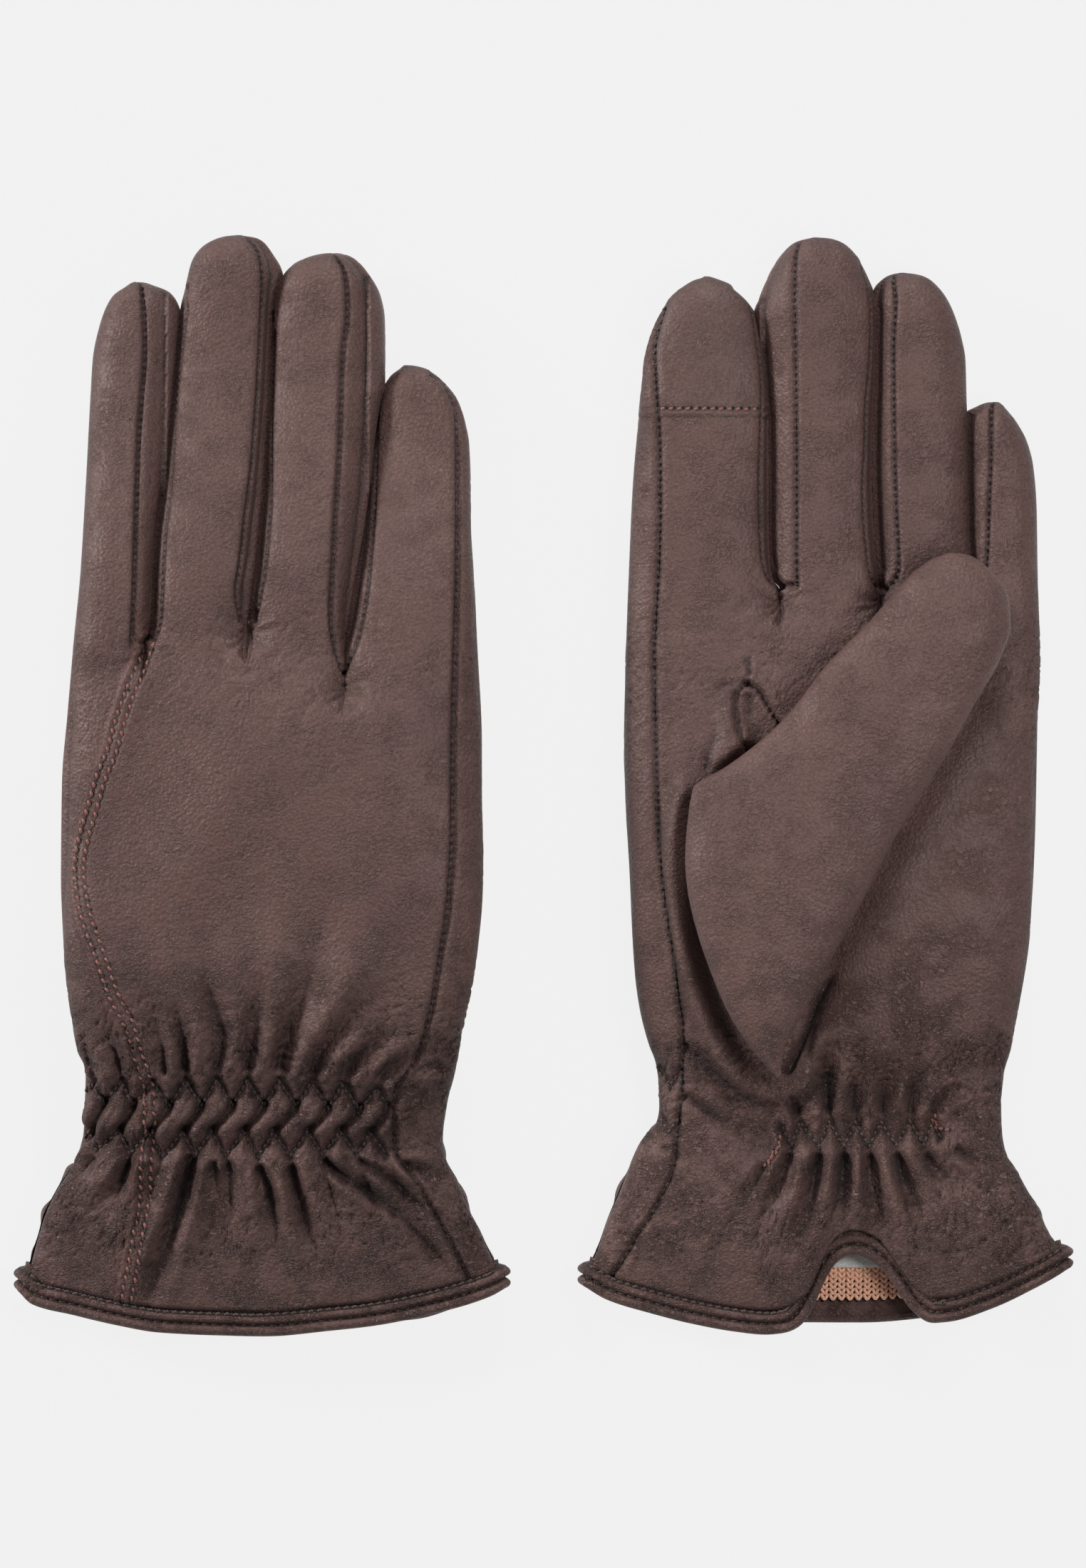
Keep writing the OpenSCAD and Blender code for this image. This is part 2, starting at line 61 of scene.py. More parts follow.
FINGERS = ["index", "middle", "ring", "little"]
rng = np.random.RandomState(7)


# ---------------------------------------------------------------- camera
def make_camera():
    cam = bpy.data.objects.new("camera", bpy.data.cameras.new("camera"))
    bpy.context.collection.objects.link(cam)
    cam.data.type = "PERSP"
    cam.data.sensor_fit = "AUTO"
    cam.data.sensor_width = 36
    cam.data.lens = 180
    lo, hi = cad_box
    frame_height = 366.7 * MM
    cam.location = ((lo.x + hi.x) / 2, (lo.y + hi.y) / 2, 0.014 + frame_height * 180 / 36)
    cam.data.clip_start, cam.data.clip_end = 0.05, 20
    bpy.context.scene.camera = cam


make_camera()


# ---------------------------------------------------------------- numbers
def pchip(points):
    """A smooth curve y(x) through [(x, y), ...] that doesn't overshoot them, straight beyond its ends."""
    p = np.array(sorted(points), float)
    x, y = p[:, 0], p[:, 1]
    h, d = np.diff(x), np.diff(y) / np.diff(x)
    m = np.zeros(len(x))
    m[0], m[-1] = d[0], d[-1]
    for i in range(1, len(x) - 1):
        if d[i - 1] * d[i] > 0:
            a, b = 2 * h[i] + h[i - 1], h[i] + 2 * h[i - 1]
            m[i] = (a + b) / (a / d[i - 1] + b / d[i])

    def f(q):
        q = np.asarray(q, float)
        i = np.clip(np.searchsorted(x, q) - 1, 0, len(x) - 2)
        t0 = (q - x[i]) / h[i]
        t = np.clip(t0, 0, 1)
        v = (y[i] * (1 + 2 * t) * (1 - t) ** 2 + y[i + 1] * t * t * (3 - 2 * t)
             + h[i] * m[i] * t * (1 - t) ** 2 - h[i] * m[i + 1] * t * t * (1 - t))
        return v + (t0 - t) * h[i] * np.where(t0 > 1, m[i + 1], m[i])
    return f


def edge(points, tip):
    """An outline's x at y, round at the fingertip's y."""
    f = pchip([(-math.sqrt(max(tip - y, 0) / 20), x) for y, x in points])
    return lambda y: f(-np.sqrt(np.maximum(tip - np.asarray(y, float), 0) / 20))


def smooth(t):
    t = np.clip(t, 0, 1)
    return t * t * (3 - 2 * t)


def mix(a, b, t):
    return a + (b - a) * t


def bell(q, middle, width):
    return np.exp(-((q - middle) / width) ** 2)


def dome(big):
    """Height of the hand's section: 1 in its middle, where big is 0, and 0 at its edges, where big is 1."""
    return (1 - big ** 2.9) ** (1 / 2.9)


TABLE = rng.rand(8, 256, 256).astype(np.float32) * 2 - 1


def noise(x, y, k=0):
    """Smooth noise from -1 to 1, one cell per unit."""
    xi, yi = np.floor(x).astype(int), np.floor(y).astype(int)
    u, v = x - xi, y - yi
    u, v = u * u * u * (u * (6 * u - 15) + 10), v * v * v * (v * (6 * v - 15) + 10)
    t = TABLE[k]
    a, b = t[xi & 255, yi & 255], t[(xi + 1) & 255, yi & 255]
    c, d = t[xi & 255, (yi + 1) & 255], t[(xi + 1) & 255, (yi + 1) & 255]
    return mix(mix(a, b, u), mix(c, d, u), v)


def fbm(x, y, k=0, octaves=3):
    return sum(noise(x * 2 ** i + 17 * i, y * 2 ** i + 31 * i, k) * 0.5 ** i for i in range(octaves))


def creases(x, y, k=0, octaves=2):
    """Thin valleys: 0 between them and down to -1 in them."""
    return -np.clip(1 - np.abs(fbm(x, y, k, octaves)) * 3.2, 0, 1) ** 2


def wrinkles(x, y, sx, sy, k):
    """An uneven net of small creases, turned and bent so that it follows no grid."""
    u = (0.87 * x + 0.5 * y) / sx + 0.9 * noise(x / 7, y / 7, k + 1)
    w = (0.87 * y - 0.5 * x) / sy + 0.9 * noise(x / 7 + 31, y / 7 + 13, k + 2)
    return creases(u, w, k, 3) + 0.6 * creases(u * 1.9 + 5, w * 1.9 + 9, k + 1, 2)


def smooth_line(points, step=1.5):
    """A rounded line through 2-D points, resampled."""
    p = np.array(points, float)
    if len(p) == 2:
        n = max(2, int(np.linalg.norm(p[1] - p[0]) / step))
        return mix(p[0], p[1], np.linspace(0, 1, n + 1)[:, None])
    q = np.vstack([2 * p[0] - p[1], p, 2 * p[-1] - p[-2]])
    out = []
    for i in range(len(p) - 1):
        a, b, c, d = q[i:i + 4]
        n = max(1, int(np.linalg.norm(c - b) / step))
        for t in np.arange(n) / n:
            out.append(0.5 * (2 * b + (c - a) * t + (2 * a - 5 * b + 4 * c - d) * t ** 2
                              + (3 * b - a - 3 * c + d) * t ** 3))
    return np.array(out + [p[-1]])


NEAR = 50  # mm; line_field gives 1000 where it doesn't measure


def line_field(x, y, line, reach):
    """Each point's distance to a line, how far along that is, its side (+1 left), and the line's length."""
    n = len(x)
    dist, along, side = np.full(n, 1e3), np.zeros(n), np.zeros(n)
    lo, hi = line.min(0) - reach, line.max(0) + reach
    near = np.nonzero((x > lo[0]) & (x < hi[0]) & (y > lo[1]) & (y < hi[1]))[0]
    seg = np.diff(line, axis=0)
    length = np.linalg.norm(seg, axis=1)
    start = np.concatenate([[0], np.cumsum(length)])
    px, py = x[near], y[near]
    best, s, w = np.full(len(near), 1e3), np.zeros(len(near)), np.zeros(len(near))
    for i in range(len(seg)):
        dx, dy = px - line[i, 0], py - line[i, 1]
        ux, uy = seg[i] / length[i]
        t = np.clip(dx * ux + dy * uy, 0, length[i])
        ex, ey = dx - t * ux, dy - t * uy
        d = np.sqrt(ex * ex + ey * ey)
        k = d < best
        best[k], s[k], w[k] = d[k], start[i] + t[k], np.sign(ux * ey - uy * ex)[k]
    dist[near], along[near], side[near] = best, s, w
    return dist, along, side, start[-1]


# ---------------------------------------------------------------- the two gloves' outlines, in mm
RIGHT = {
    "name": "right", "back_up": True, "hem": -118,
    "left": [(-118, -123.3), (-112, -120.6), (-107, -119.2), (-100, -117), (-94, -114), (-90, -111),
             (-86, -108.7), (-80, -107.4), (-72, -106.7), (-66, -106.8), (-62, -108.5), (-52, -110),
             (-40, -111.3), (-20, -112.2), (0, -112), (18, -110.6), (33, -109.3), (50, -107.7),
             (70, -106.8), (90, -106.1), (100, -105.6), (108, -104), (112, -102.6), (115, -100.8),
             (117, -98), (118.2, -95)],
    "right": [(-118, -8.7), (-110, -12.2), (-104, -14.5), (-98, -17.6), (-92, -20), (-87, -22.8),
              (-83, -23.4), (-74, -22.3), (-66, -20.3), (-55, -18.5), (-40, -16.5), (-25, -15.1),
              (-5, -14.2), (10, -14.2), (33, -15.3), (40, -15.6), (50, -16.2), (60, -16.8), (70, -17),
              (80, -17.3), (85, -18.2), (90, -19.8), (95, -23.5), (98, -28), (98.7, -32)],
    "tips": [118.2, 129.1, 124.8, 98.7],
    "crotch": [(-92.5, 33.5), (-68.5, 38), (-46.3, 25)],
    # the line between two fingers, then how each finger's own edge leaves it for its tip
    "between": [[(35, -91.5), (40, -91), (50, -90.5), (60, -89.5), (70, -88), (80, -87), (90, -86.3),
                 (100, -85.6)],
                [(40, -68.2), (45, -67.8), (50, -67), (60, -66), (70, -65.2), (80, -64.8), (90, -64),
                 (100, -63.7), (110, -63.3)],
                [(30, -46.3), (40, -45), (50, -43.5), (60, -42), (70, -40.8), (80, -39.8), (85, -39.2),
                 (90, -38.3)]],
    "right_tips": [[(110, -85.2), (113, -86), (116, -88.3), (117.5, -92), (118.2, -95)],
                   [(115, -62.5), (119, -61.4), (125, -64), (128.5, -67.5), (129.1, -72)],
                   [(93, -37.4), (100, -37.4), (110, -37.7), (115, -38.6), (120, -41.3), (124, -45.5),
                    (124.8, -49.5)]],
    "left_tips": [[(110, -85), (118, -83.3), (123, -82), (126, -80), (128, -77), (129.1, -72)],
                  [(119, -61), (122, -58.5), (124, -54.5), (124.8, -49.5)],
                  [(96, -35.5), (98, -33), (98.7, -32)]],
    "top_hem": [(-123.3, -118.3), (-120, -121.5), (-110, -124), (-100, -126.3), (-90, -128), (-75, -128.7),
                (-65, -128.9), (-50, -127.6), (-40, -126.5), (-25, -123.5), (-12, -119.6), (-8.7, -117.8)],
    "low_hem": [(-123.3, -118.3), (-112, -122), (-100, -124.5), (-84, -124.5), (-74, -122), (-68, -111),
                (-64, -109.5), (-60, -111), (-54, -119), (-48, -124), (-40, -126.3), (-30, -125.6),
                (-20, -122.6), (-12, -119.4), (-8.7, -117.8)],
    "middle_z": [(-118, 6.5), (-108, 7.8), (-98, 9.4), (-88, 11.6), (-78, 14.6), (-68, 18.4), (-55, 22),
                 (-38, 24), (-20, 24.2), (0, 24.2), (18, 23.8), (33, 23.1), (38, 23)],
    "half": [(-118, 6), (-108, 7.5), (-98, 8.5), (-88, 8.5), (-78, 8), (-68, 8.5), (-55, 9.5), (-38, 10.3),
             (-20, 10.5), (0, 10.5), (18, 9.8), (33, 8.6), (50, 8)],
    "bend": [66, 71, 68, 57],
}
LEFT = {
    "name": "left", "back_up": False, "hem": -115,
    "left": [(-115, 9.2), (-112, 10.6), (-106, 13), (-100, 15), (-95, 17.5), (-90, 19.8), (-84, 22.5),
             (-81.5, 24.3), (-79, 26.6), (-75, 27.2), (-70, 27), (-65, 26.4), (-60, 24.6), (-52, 22.6),
             (-45, 21.6), (-35, 20.9), (-20, 20.2), (-5, 19.4), (10, 19), (30, 19.4), (50, 20.1), (70, 21),
             (90, 22.9), (100, 24), (108, 26.3), (112, 28.2), (115, 30.2), (117, 32.7), (119.1, 37.5)],
    "right": [(-115, 123.4), (-111, 121.9), (-105, 118.8), (-102, 117.5), (-98, 116), (-94, 113.5),
              (-89, 110.5), (-87, 109), (-82, 107.8), (-75, 107.5), (-67, 108.2), (-62, 109.6),
              (-55, 110.8), (-45, 112.2), (-35, 113.6), (-25, 114.7), (-10, 115.4), (10, 115.8),
              (30, 116.1), (50, 116), (65, 115.8), (75, 115), (80, 113.8), (85, 111.3), (88, 109),
              (90.1, 106)],
    "tips": [119.1, 128.6, 120.3, 90.1],
    "crotch": [(55.5, 46.5), (79, 46), (101.3, 41)],
    "between": [[(48, 54.2), (52, 53.3), (60, 53), (70, 53), (85, 52.8), (90, 52.3), (100, 51.5),
                 (105, 50.8)],
                [(55, 77.8), (65, 77.3), (75, 77), (85, 77.2), (95, 77.7), (110, 78)],
                [(52, 100.3), (60, 99.8), (80, 99.4)]],
    "right_tips": [[(110, 49.8), (113, 48), (116, 45), (118, 42), (119.1, 37.5)],
                   [(116, 77.2), (119, 76), (123, 74), (127, 70.5), (128.6, 65)],
                   [(90, 99), (100, 98.7), (105, 97.8), (110, 96.3), (114, 94.5), (117, 92.3), (119.5, 89),
                    (120.3, 84)]],
    "left_tips": [[(110, 49.9), (115, 51.5), (120, 53.5), (125, 56.7), (127.5, 59.5), (128.6, 65)],
                  [(113, 77.4), (116, 77.8), (119, 80.2), (120.3, 84)],
                  [(87.5, 99.5), (89, 102), (90.1, 106)]],
    "top_hem": [(9.2, -117.2), (15, -120.5), (25, -123.5), (35, -126), (45, -127.8), (52, -128.5),
                (57, -128), (60.5, -126.3), (63.5, -122), (65.5, -116.5), (68.5, -111.6), (72.8, -109.6),
                (77, -111.2), (80, -114), (82.5, -117.4), (86, -122.5), (91, -125.8), (95, -125.5),
                (105, -122.5), (115, -117.9), (121, -114.7), (123.4, -113.2)],
    "low_hem": [(9.2, -117.2), (20, -121), (35, -124.5), (55, -126.3), (75, -126.4), (92, -125),
                (105, -122), (115, -117.9), (121, -114.7), (123.4, -113.2)],
    "middle_z": [(-115, 6.5), (-108, 7.5), (-98, 8.5), (-88, 8.5), (-78, 8), (-68, 8.5), (-55, 9.5),
                 (-38, 10.3), (-20, 10.5), (0, 10.5), (20, 9.8), (44, 8.4), (52, 8)],
    "half": [(-115, 6), (-108, 7.5), (-98, 8.5), (-88, 8.5), (-78, 8), (-68, 8.5), (-55, 9.5), (-38, 10.3),
             (-20, 10.5), (0, 10.5), (20, 9.8), (44, 8.4), (52, 8)],
    "bend": [74, 77, 73, 60],
}
WRIST = -88
STEP = 0.55  # row spacing of the leather mesh
SEAM_PITCH = 1.75
SIDE_PITCH = 1.9
TOPSTITCH_PITCH = 2.2
ZIGZAG_PITCH = 1.6


class Glove:
    """The outer surface as four columns, each a finger carried down to the hem, with top and low sheets."""

    def __init__(self, spec):
        self.__dict__.update(spec)
        s = self
        s.n_top, s.n_low = 70, 44
        s.outer = [edge(s.left, s.tips[0]), edge(s.right, s.tips[3])]
        s.ledge, s.redge = [s.outer[0]], []
        for k in range(3):
            c = [(s.crotch[k][1], s.crotch[k][0])]
            s.redge.append(edge(c + s.between[k] + s.right_tips[k], s.tips[k]))
            s.ledge.append(edge(c + s.between[k] + s.left_tips[k], s.tips[k + 1]))
        s.redge.append(s.outer[1])
        s.fr = []
        for x, y in s.crotch:
            a, b = s.outer[0](y), s.outer[1](y)
            s.fr.append((x - a) / (b - a))
        s.zm, s.hh = pchip(s.middle_z), pchip(s.half)
        s.hems = [pchip(s.top_hem), pchip(s.low_hem)]

    def middle(self, f, y):
        if not self.back_up:
            return self.zm(np.minimum(y, 52))
        z = self.zm(np.minimum(y, 38))
        return mix(z, 8.3, smooth((y - 38) / (self.tips[f] - 48)))

    def crotch_y(self, f):
        c = [self.crotch[0][1], *[p[1] for p in self.crotch], self.crotch[2][1]]
        return c[f], c[f + 1]

    def bounds_at(self, f, y):
        a, b = self.outer[0](y), self.outer[1](y)
        lo, hi = self.ledge[f](y), self.redge[f](y)
        gap = -0.4
        if f > 0:
            yc = self.crotch[f - 1][1]
            lo = np.where(y < yc, a + (b - a) * self.fr[f - 1], lo + gap * smooth((y - yc) / 4))
        if f < 3:
            yc = self.crotch[f][1]
            hi = np.where(y < yc, a + (b - a) * self.fr[f], hi - gap * smooth((y - yc) / 4))
        return lo, hi, a, b

    def rows(self, f, step=STEP):
        tip = self.tips[f]
        base = np.arange(self.hem, tip - 9, step)
        near = tip - 20 * np.linspace(math.sqrt((tip - base[-1]) / 20), 0, int(17 / step))[1:] ** 2
        return np.concatenate([base, near])

    def points(self, f, low, y, c, inset=0.0):
        """Surface points of a sheet at nominal heights y (rows) and cosines c (columns)."""
        y = y[:, None]
        lo, hi, a, b = self.bounds_at(f, y)
        yl, yr = self.crotch_y(f)
        u = smooth((1 + c) / 2)[None, :]
        yc = mix(yl, yr, u) - 0.6
        t = smooth((y - (yc - 10)) / 10)
        if np.any(inset):
            lo = lo + inset * (t[:, :1] if f > 0 else 1)
            hi = hi - inset * (t[:, -1:] if f < 3 else 1)
            a, b = a + inset, b - inset
        x = (lo + hi) / 2 + (hi - lo) / 2 * c[None, :]
        big = np.clip(np.abs((2 * x - a - b) / (b - a)), 0, 1)
        hand = (self.hh(np.minimum(y, 52)) - inset) * dome(big)
        over = np.clip((y - (self.tips[f] - 15)) / 15, 0, 1)
        fine = (8 - inset) * (1 - np.abs(c[None, :]) ** 2.5) ** (1 / 2.5) * (1 - over ** 2.6) ** (1 / 2.3)
        h = mix(hand, fine, t)
        z = self.middle(f, y) + (-h if low else h)
        t2 = np.clip((WRIST - y) / (WRIST - self.hem), 0, 1)
        out = mix(WRIST, self.hems[1 if low else 0](x) + 1.2, t2)
        return x, np.where(y < WRIST, out, y + 0 * x), z


# ---------------------------------------------------------------- meshes
def link(name, verts, faces, mats, smooth_faces=True):
    me = bpy.data.meshes.new(name)
    verts = np.asarray(verts, np.float32) * MM
    faces = np.asarray(faces, np.int32)
    k = faces.shape[1]
    me.vertices.add(len(verts))
    me.vertices.foreach_set("co", verts.ravel())
    me.loops.add(faces.size)
    me.loops.foreach_set("vertex_index", faces.ravel())
    me.polygons.add(len(faces))
    me.polygons.foreach_set("loop_start", np.arange(0, faces.size, k, dtype=np.int32))
    me.polygons.foreach_set("loop_total", np.full(len(faces), k, np.int32))
    me.update(calc_edges=True)
    me.validate()
    if smooth_faces:
        me.polygons.foreach_set("use_smooth", np.ones(len(me.polygons), bool))
    for m in mats if isinstance(mats, list) else [mats]:
        me.materials.append(m)
    ob = bpy.data.objects.new(name, me)
    bpy.context.collection.objects.link(ob)
    return ob


def thicken(ob, wall, offset=-1):
    """Give a sheet a wall of so many mm, to one side, or to both when offset is 0."""
    m = ob.modifiers.new("wall", "SOLIDIFY")
    m.thickness = wall * MM
    m.offset = offset


def grid_faces(idx, flip=False):
    a, b, c, d = idx[:-1, :-1], idx[:-1, 1:], idx[1:, 1:], idx[1:, :-1]
    q = np.stack([a, b, c, d], -1).reshape(-1, 4)
    return q[:, ::-1] if flip else q


def weld(v, faces):
    key = np.round(v * 2000).astype(np.int64)
    _, first, inv = np.unique(key, axis=0, return_index=True, return_inverse=True)
    inv = inv.reshape(-1)
    f = inv[faces]
    ok = (f[:, 0] != f[:, 2]) & (f[:, 1] != f[:, 3])
    return v[first], f, ok


def normals(v, f):
    n = np.cross(v[f[:, 2]] - v[f[:, 0]], v[f[:, 3]] - v[f[:, 1]])
    out = np.zeros_like(v)
    for k in range(4):
        for a in range(3):
            out[:, a] += np.bincount(f[:, k], n[:, a], len(v))
    return out / np.maximum(np.linalg.norm(out, axis=1, keepdims=True), 1e-9)


def build_surface(g):
    """Welded vertices, faces, and each face's column, sheet (0 top, 1 low) and nominal row height."""
    vs, fs, col, low, row = [], [], [], [], []
    n = 0
    for f in range(4):
        y = g.rows(f)
        for s, count in ((0, g.n_top), (1, g.n_low)):
            c = -np.cos(np.linspace(0, math.pi, count + 1))
            c[0], c[-1] = -1, 1
            x, yy, z = g.points(f, s == 1, y, c)
            v = np.stack([x, yy, z], -1)
            idx = n + np.arange(len(y) * len(c)).reshape(len(y), len(c))
            vs.append(v.reshape(-1, 3))
            q = grid_faces(idx, flip=(s == 1))
            fs.append(q)
            col.append(np.full(len(q), f))
            low.append(np.full(len(q), s))
            row.append(np.repeat((y[:-1] + y[1:]) / 2, len(c) - 1))
            n += idx.size
    v, f, ok = weld(np.concatenate(vs), np.concatenate(fs))
    return v, f[ok], np.concatenate(col)[ok], np.concatenate(low)[ok], np.concatenate(row)[ok]


def pick(v, f, chosen):
    f = f[chosen]
    used = np.zeros(len(v), bool)
    used[f.ravel()] = True
    new = np.cumsum(used) - 1
    return v[used], new[f]


# ---------------------------------------------------------------- materials
def node_mat(name):
    m = bpy.data.materials.new(name)
    m.use_nodes = True
    t = m.node_tree
    t.nodes.clear()
    out = t.nodes.new("ShaderNodeOutputMaterial")
    b = t.nodes.new("ShaderNodeBsdfPrincipled")
    t.links.new(b.outputs[0], out.inputs[0])
    return m, t, b


def add(t, kind, **sets):
    n = t.nodes.new(kind)
    for k, v in sets.items():
        if k in n.inputs:
            n.inputs[k].default_value = v
        else:
            setattr(n, k, v)
    return n


def put(node, values):
    for name, value in values.items():
        node.inputs[name].default_value = value


def srgb(*c):
    return tuple(((x / 255 + 0.055) / 1.055) ** 2.4 if x > 10 else x / 255 / 12.92 for x in c) + (1,)


def leather(name, dark, light, rough=0.52, grain=1.0):
    """Nappa: fine grain, wrinkles that gather at the cuff, varied colour, painted shade in folds, seam
    grooves and on steep sides, and lighter raised ridges.
    """
    m, t, b = node_mat(name)
    co = add(t, "ShaderNodeTexCoord")

    def ranged(src, a, b2, c, d):
        r = add(t, "ShaderNodeMapRange")
        put(r, {"From Min": a, "From Max": b2, "To Min": c, "To Max": d})
        t.links.new(src, r.inputs["Value"])
        return r.outputs["Result"]

    def math_node(op, *xs):
        n = add(t, "ShaderNodeMath", operation=op)
        for i, v in enumerate(xs):
            if isinstance(v, float):
                n.inputs[i].default_value = v
            else:
                t.links.new(v, n.inputs[i])
        return n.outputs[0]

    def mixed(a, b2, fac, kind="MIX"):
        n = add(t, "ShaderNodeMix", data_type="RGBA", blend_type=kind)
        for i, v in ((0, fac), (6, a), (7, b2)):
            if isinstance(v, (float, tuple)):
                n.inputs[i].default_value = v
            else:
                t.links.new(v, n.inputs[i])
        return n.outputs[2]

    def stretched(x, y, turn):
        n = add(t, "ShaderNodeMapping")
        put(n, {"Scale": (x, y, 1), "Rotation": (0, 0, turn)})
        t.links.new(co.outputs["Object"], n.inputs["Vector"])
        return n.outputs[0]

    def tex(kind, out, src, **sets):
        n = add(t, kind, **sets)
        t.links.new(src, n.inputs["Vector"])
        return n.outputs[out]

    flat = co.outputs["Object"]
    big = tex("ShaderNodeTexNoise", "Fac", flat, Scale=34, Detail=4, Roughness=0.6)
    mid = tex("ShaderNodeTexNoise", "Fac", flat, Scale=120, Detail=2)
    fine = tex("ShaderNodeTexNoise", "Fac", flat, Scale=1700, Detail=2, Roughness=0.6)
    cell = tex("ShaderNodeTexVoronoi", "Distance", flat, Scale=1350, feature="SMOOTH_F1", Smoothness=0.5)
    # wrinkles lie where a stretched noise crosses its middle; two layers make an uneven net
    lines = []
    for sx, sy, turn, scale, wide in ((0.7, 1.5, 0.35, 300, 0.05), (1.4, 0.75, 0.5, 420, 0.055),
                                      (0.8, 1.3, -0.6, 640, 0.07)):
        w = tex("ShaderNodeTexNoise", "Fac", stretched(sx, sy, turn), Scale=scale, Detail=3, Roughness=0.55,
                Distortion=0.3)
        w = math_node("ABSOLUTE", math_node("SUBTRACT", w, 0.5))
        lines.append(ranged(w, 0.0, wide, 1.0, 0.0))
    sep = add(t, "ShaderNodeSeparateXYZ")
    t.links.new(flat, sep.inputs[0])
    cuff = ranged(sep.outputs["Y"], -0.03, -0.07, 0.3, 1.0)
    patchy = math_node("MULTIPLY", ranged(mid, 0.42, 0.62, 0.15, 1.0), cuff)
    line = math_node("MULTIPLY", math_node("MAXIMUM", math_node("MAXIMUM", *lines[:2]), lines[2]), patchy)
    shading_paint = add(t, "ShaderNodeAttribute", attribute_name="crease").outputs["Fac"]
    red = add(t, "ShaderNodeAttribute", attribute_name="redden").outputs["Fac"]
    base = mixed(dark, light, ranged(big, 0.35, 0.65, 0.0, 1.0))
    base = mixed(base, (0.15, 0.098, 0.08, 1), ranged(mid, 0.5, 0.75, 0.0, 0.15))
    # painted shading: where crease is negative the colour lightens on raised ridges; where it is positive,
    # painted shade darkens folds, grooves and steep sides
    base = mixed(base, (0.19, 0.128, 0.116, 1), ranged(shading_paint, -0.1, -1.0, 0.0, 0.42))
    base = mixed(base, (0.014, 0.008, 0.008, 1), ranged(shading_paint, 0.08, 1.0, 0.0, 0.85))
    base = mixed(base, (0.16, 0.06, 0.045, 1), red)
    base = mixed(base, (0.72, 0.68, 0.67, 1), ranged(cell, 0.3, 0.75, 0.0, 0.6), "MULTIPLY")
    base = mixed(base, (0.55, 0.5, 0.49, 1), math_node("MULTIPLY", line, 0.5), "MULTIPLY")
    base = mixed(base, (0.8, 0.78, 0.77, 1), ranged(fine, 0.42, 0.62, 0.0, 1.0), "MULTIPLY")
    t.links.new(base, b.inputs["Base Color"])
    t.links.new(ranged(fine, 0.3, 0.7, rough - 0.07, rough + 0.09), b.inputs["Roughness"])
    put(b, {"Specular IOR Level": 0.42, "Sheen Weight": 0.04, "Sheen Roughness": 0.4,
            "Sheen Tint": (0.9, 0.78, 0.75, 1)})
    last = None
    for src, strength, deep in ((cell, 0.85 * grain, 0.00022), (line, 1.0 * grain, 0.0005),
                                (fine, 0.5 * grain, 0.00012)):
        n = add(t, "ShaderNodeBump", Strength=strength, Distance=deep, invert=src is not fine)
        t.links.new(src, n.inputs["Height"])
        if last:
            t.links.new(last, n.inputs["Normal"])
        last = n.outputs["Normal"]
    t.links.new(last, b.inputs["Normal"])
    return m


def thread_mat(name, colour, rough=0.45):
    m, t, b = node_mat(name)
    co = add(t, "ShaderNodeTexCoord")
    n = add(t, "ShaderNodeTexNoise", Scale=2500, Detail=2)
    t.links.new(co.outputs["Object"], n.inputs["Vector"])
    ramp = add(t, "ShaderNodeValToRGB")
    ramp.color_ramp.elements[0].color = tuple(0.6 * c for c in colour[:3]) + (1,)
    ramp.color_ramp.elements[1].color = tuple(1.5 * c for c in colour[:3]) + (1,)
    t.links.new(n.outputs["Fac"], ramp.inputs["Fac"])
    t.links.new(ramp.outputs["Color"], b.inputs["Base Color"])
    put(b, {"Roughness": rough, "Sheen Weight": 0.3})
    bump = add(t, "ShaderNodeBump", Strength=0.5, Distance=0.0001)
    t.links.new(n.outputs["Fac"], bump.inputs["Height"])
    t.links.new(bump.outputs["Normal"], b.inputs["Normal"])
    return m


LEATHER = leather("leather", srgb(98, 72, 68), srgb(108, 81, 75))
TOUCH = leather("touch_leather", srgb(97, 73, 68), srgb(105, 80, 75), rough=0.5, grain=0.7)
BIND = leather("binding_leather", srgb(92, 67, 62), srgb(103, 77, 71), rough=0.5)
KNIT = thread_mat("lining_knit", srgb(244, 190, 160), 0.85)
THREAD = thread_mat("thread_dark", srgb(66, 42, 36), 0.38)
TOPSTITCH = thread_mat("thread_reddish", srgb(132, 80, 68), 0.38)
LABEL = thread_mat("label_weave", srgb(212, 212, 208), 0.7)


# ---------------------------------------------------------------- seams and folds
# Each finger's two upper seams, from the crotch or the hand to the tip; left out where the seam is hidden
SEAMS_R = {
    "index_r": [(-95.2, 33), (-95, 37), (-94.7, 45), (-94.5, 60), (-94.2, 80), (-93.7, 90), (-93, 100),
                (-93.2, 110), (-94, 117), (-94.8, 118.6)],
    "middle_l": [(-90.2, 34), (-89, 38), (-88.5, 50), (-88, 60), (-87, 70), (-86.5, 80), (-86, 90),
                 (-85, 100), (-83.6, 112)],
    "middle_r": [(-69.6, 38.5), (-70.8, 45), (-70, 52), (-69, 62), (-67.5, 75), (-66.5, 90), (-66, 100),
                 (-65.6, 110), (-65.4, 118), (-66.5, 125), (-69.5, 129)],
    "ring_l": [(-67.5, 38.5), (-66, 45), (-65, 50), (-64, 60), (-63.6, 70), (-63.7, 90), (-63.2, 106)],
    "ring_r": [(-46.9, 26), (-48.2, 32), (-49, 40), (-48.3, 60), (-47.3, 80), (-46.8, 100), (-45.7, 110),
               (-46.3, 120), (-48.8, 124.8)],
    "little_l": [(-45.6, 26), (-42.7, 35), (-41, 45), (-39.8, 60), (-39.5, 70), (-39, 87), (-38, 92)],
}
SIDE_R = [(-26, 96.5), (-23.5, 95), (-21, 90), (-20, 85), (-19.7, 60), (-20, 40), (-21, 10), (-21.2, -10),
          (-21.7, -20), (-22.5, -30), (-24, -40), (-25.5, -50), (-28, -60), (-30.2, -65), (-33, -68.5),
          (-34.4, -72), (-34.5, -85), (-31, -90), (-28, -95), (-25, -100), (-22.5, -105), (-20, -110),
          (-17.5, -115), (-16, -120), (-15.4, -123)]
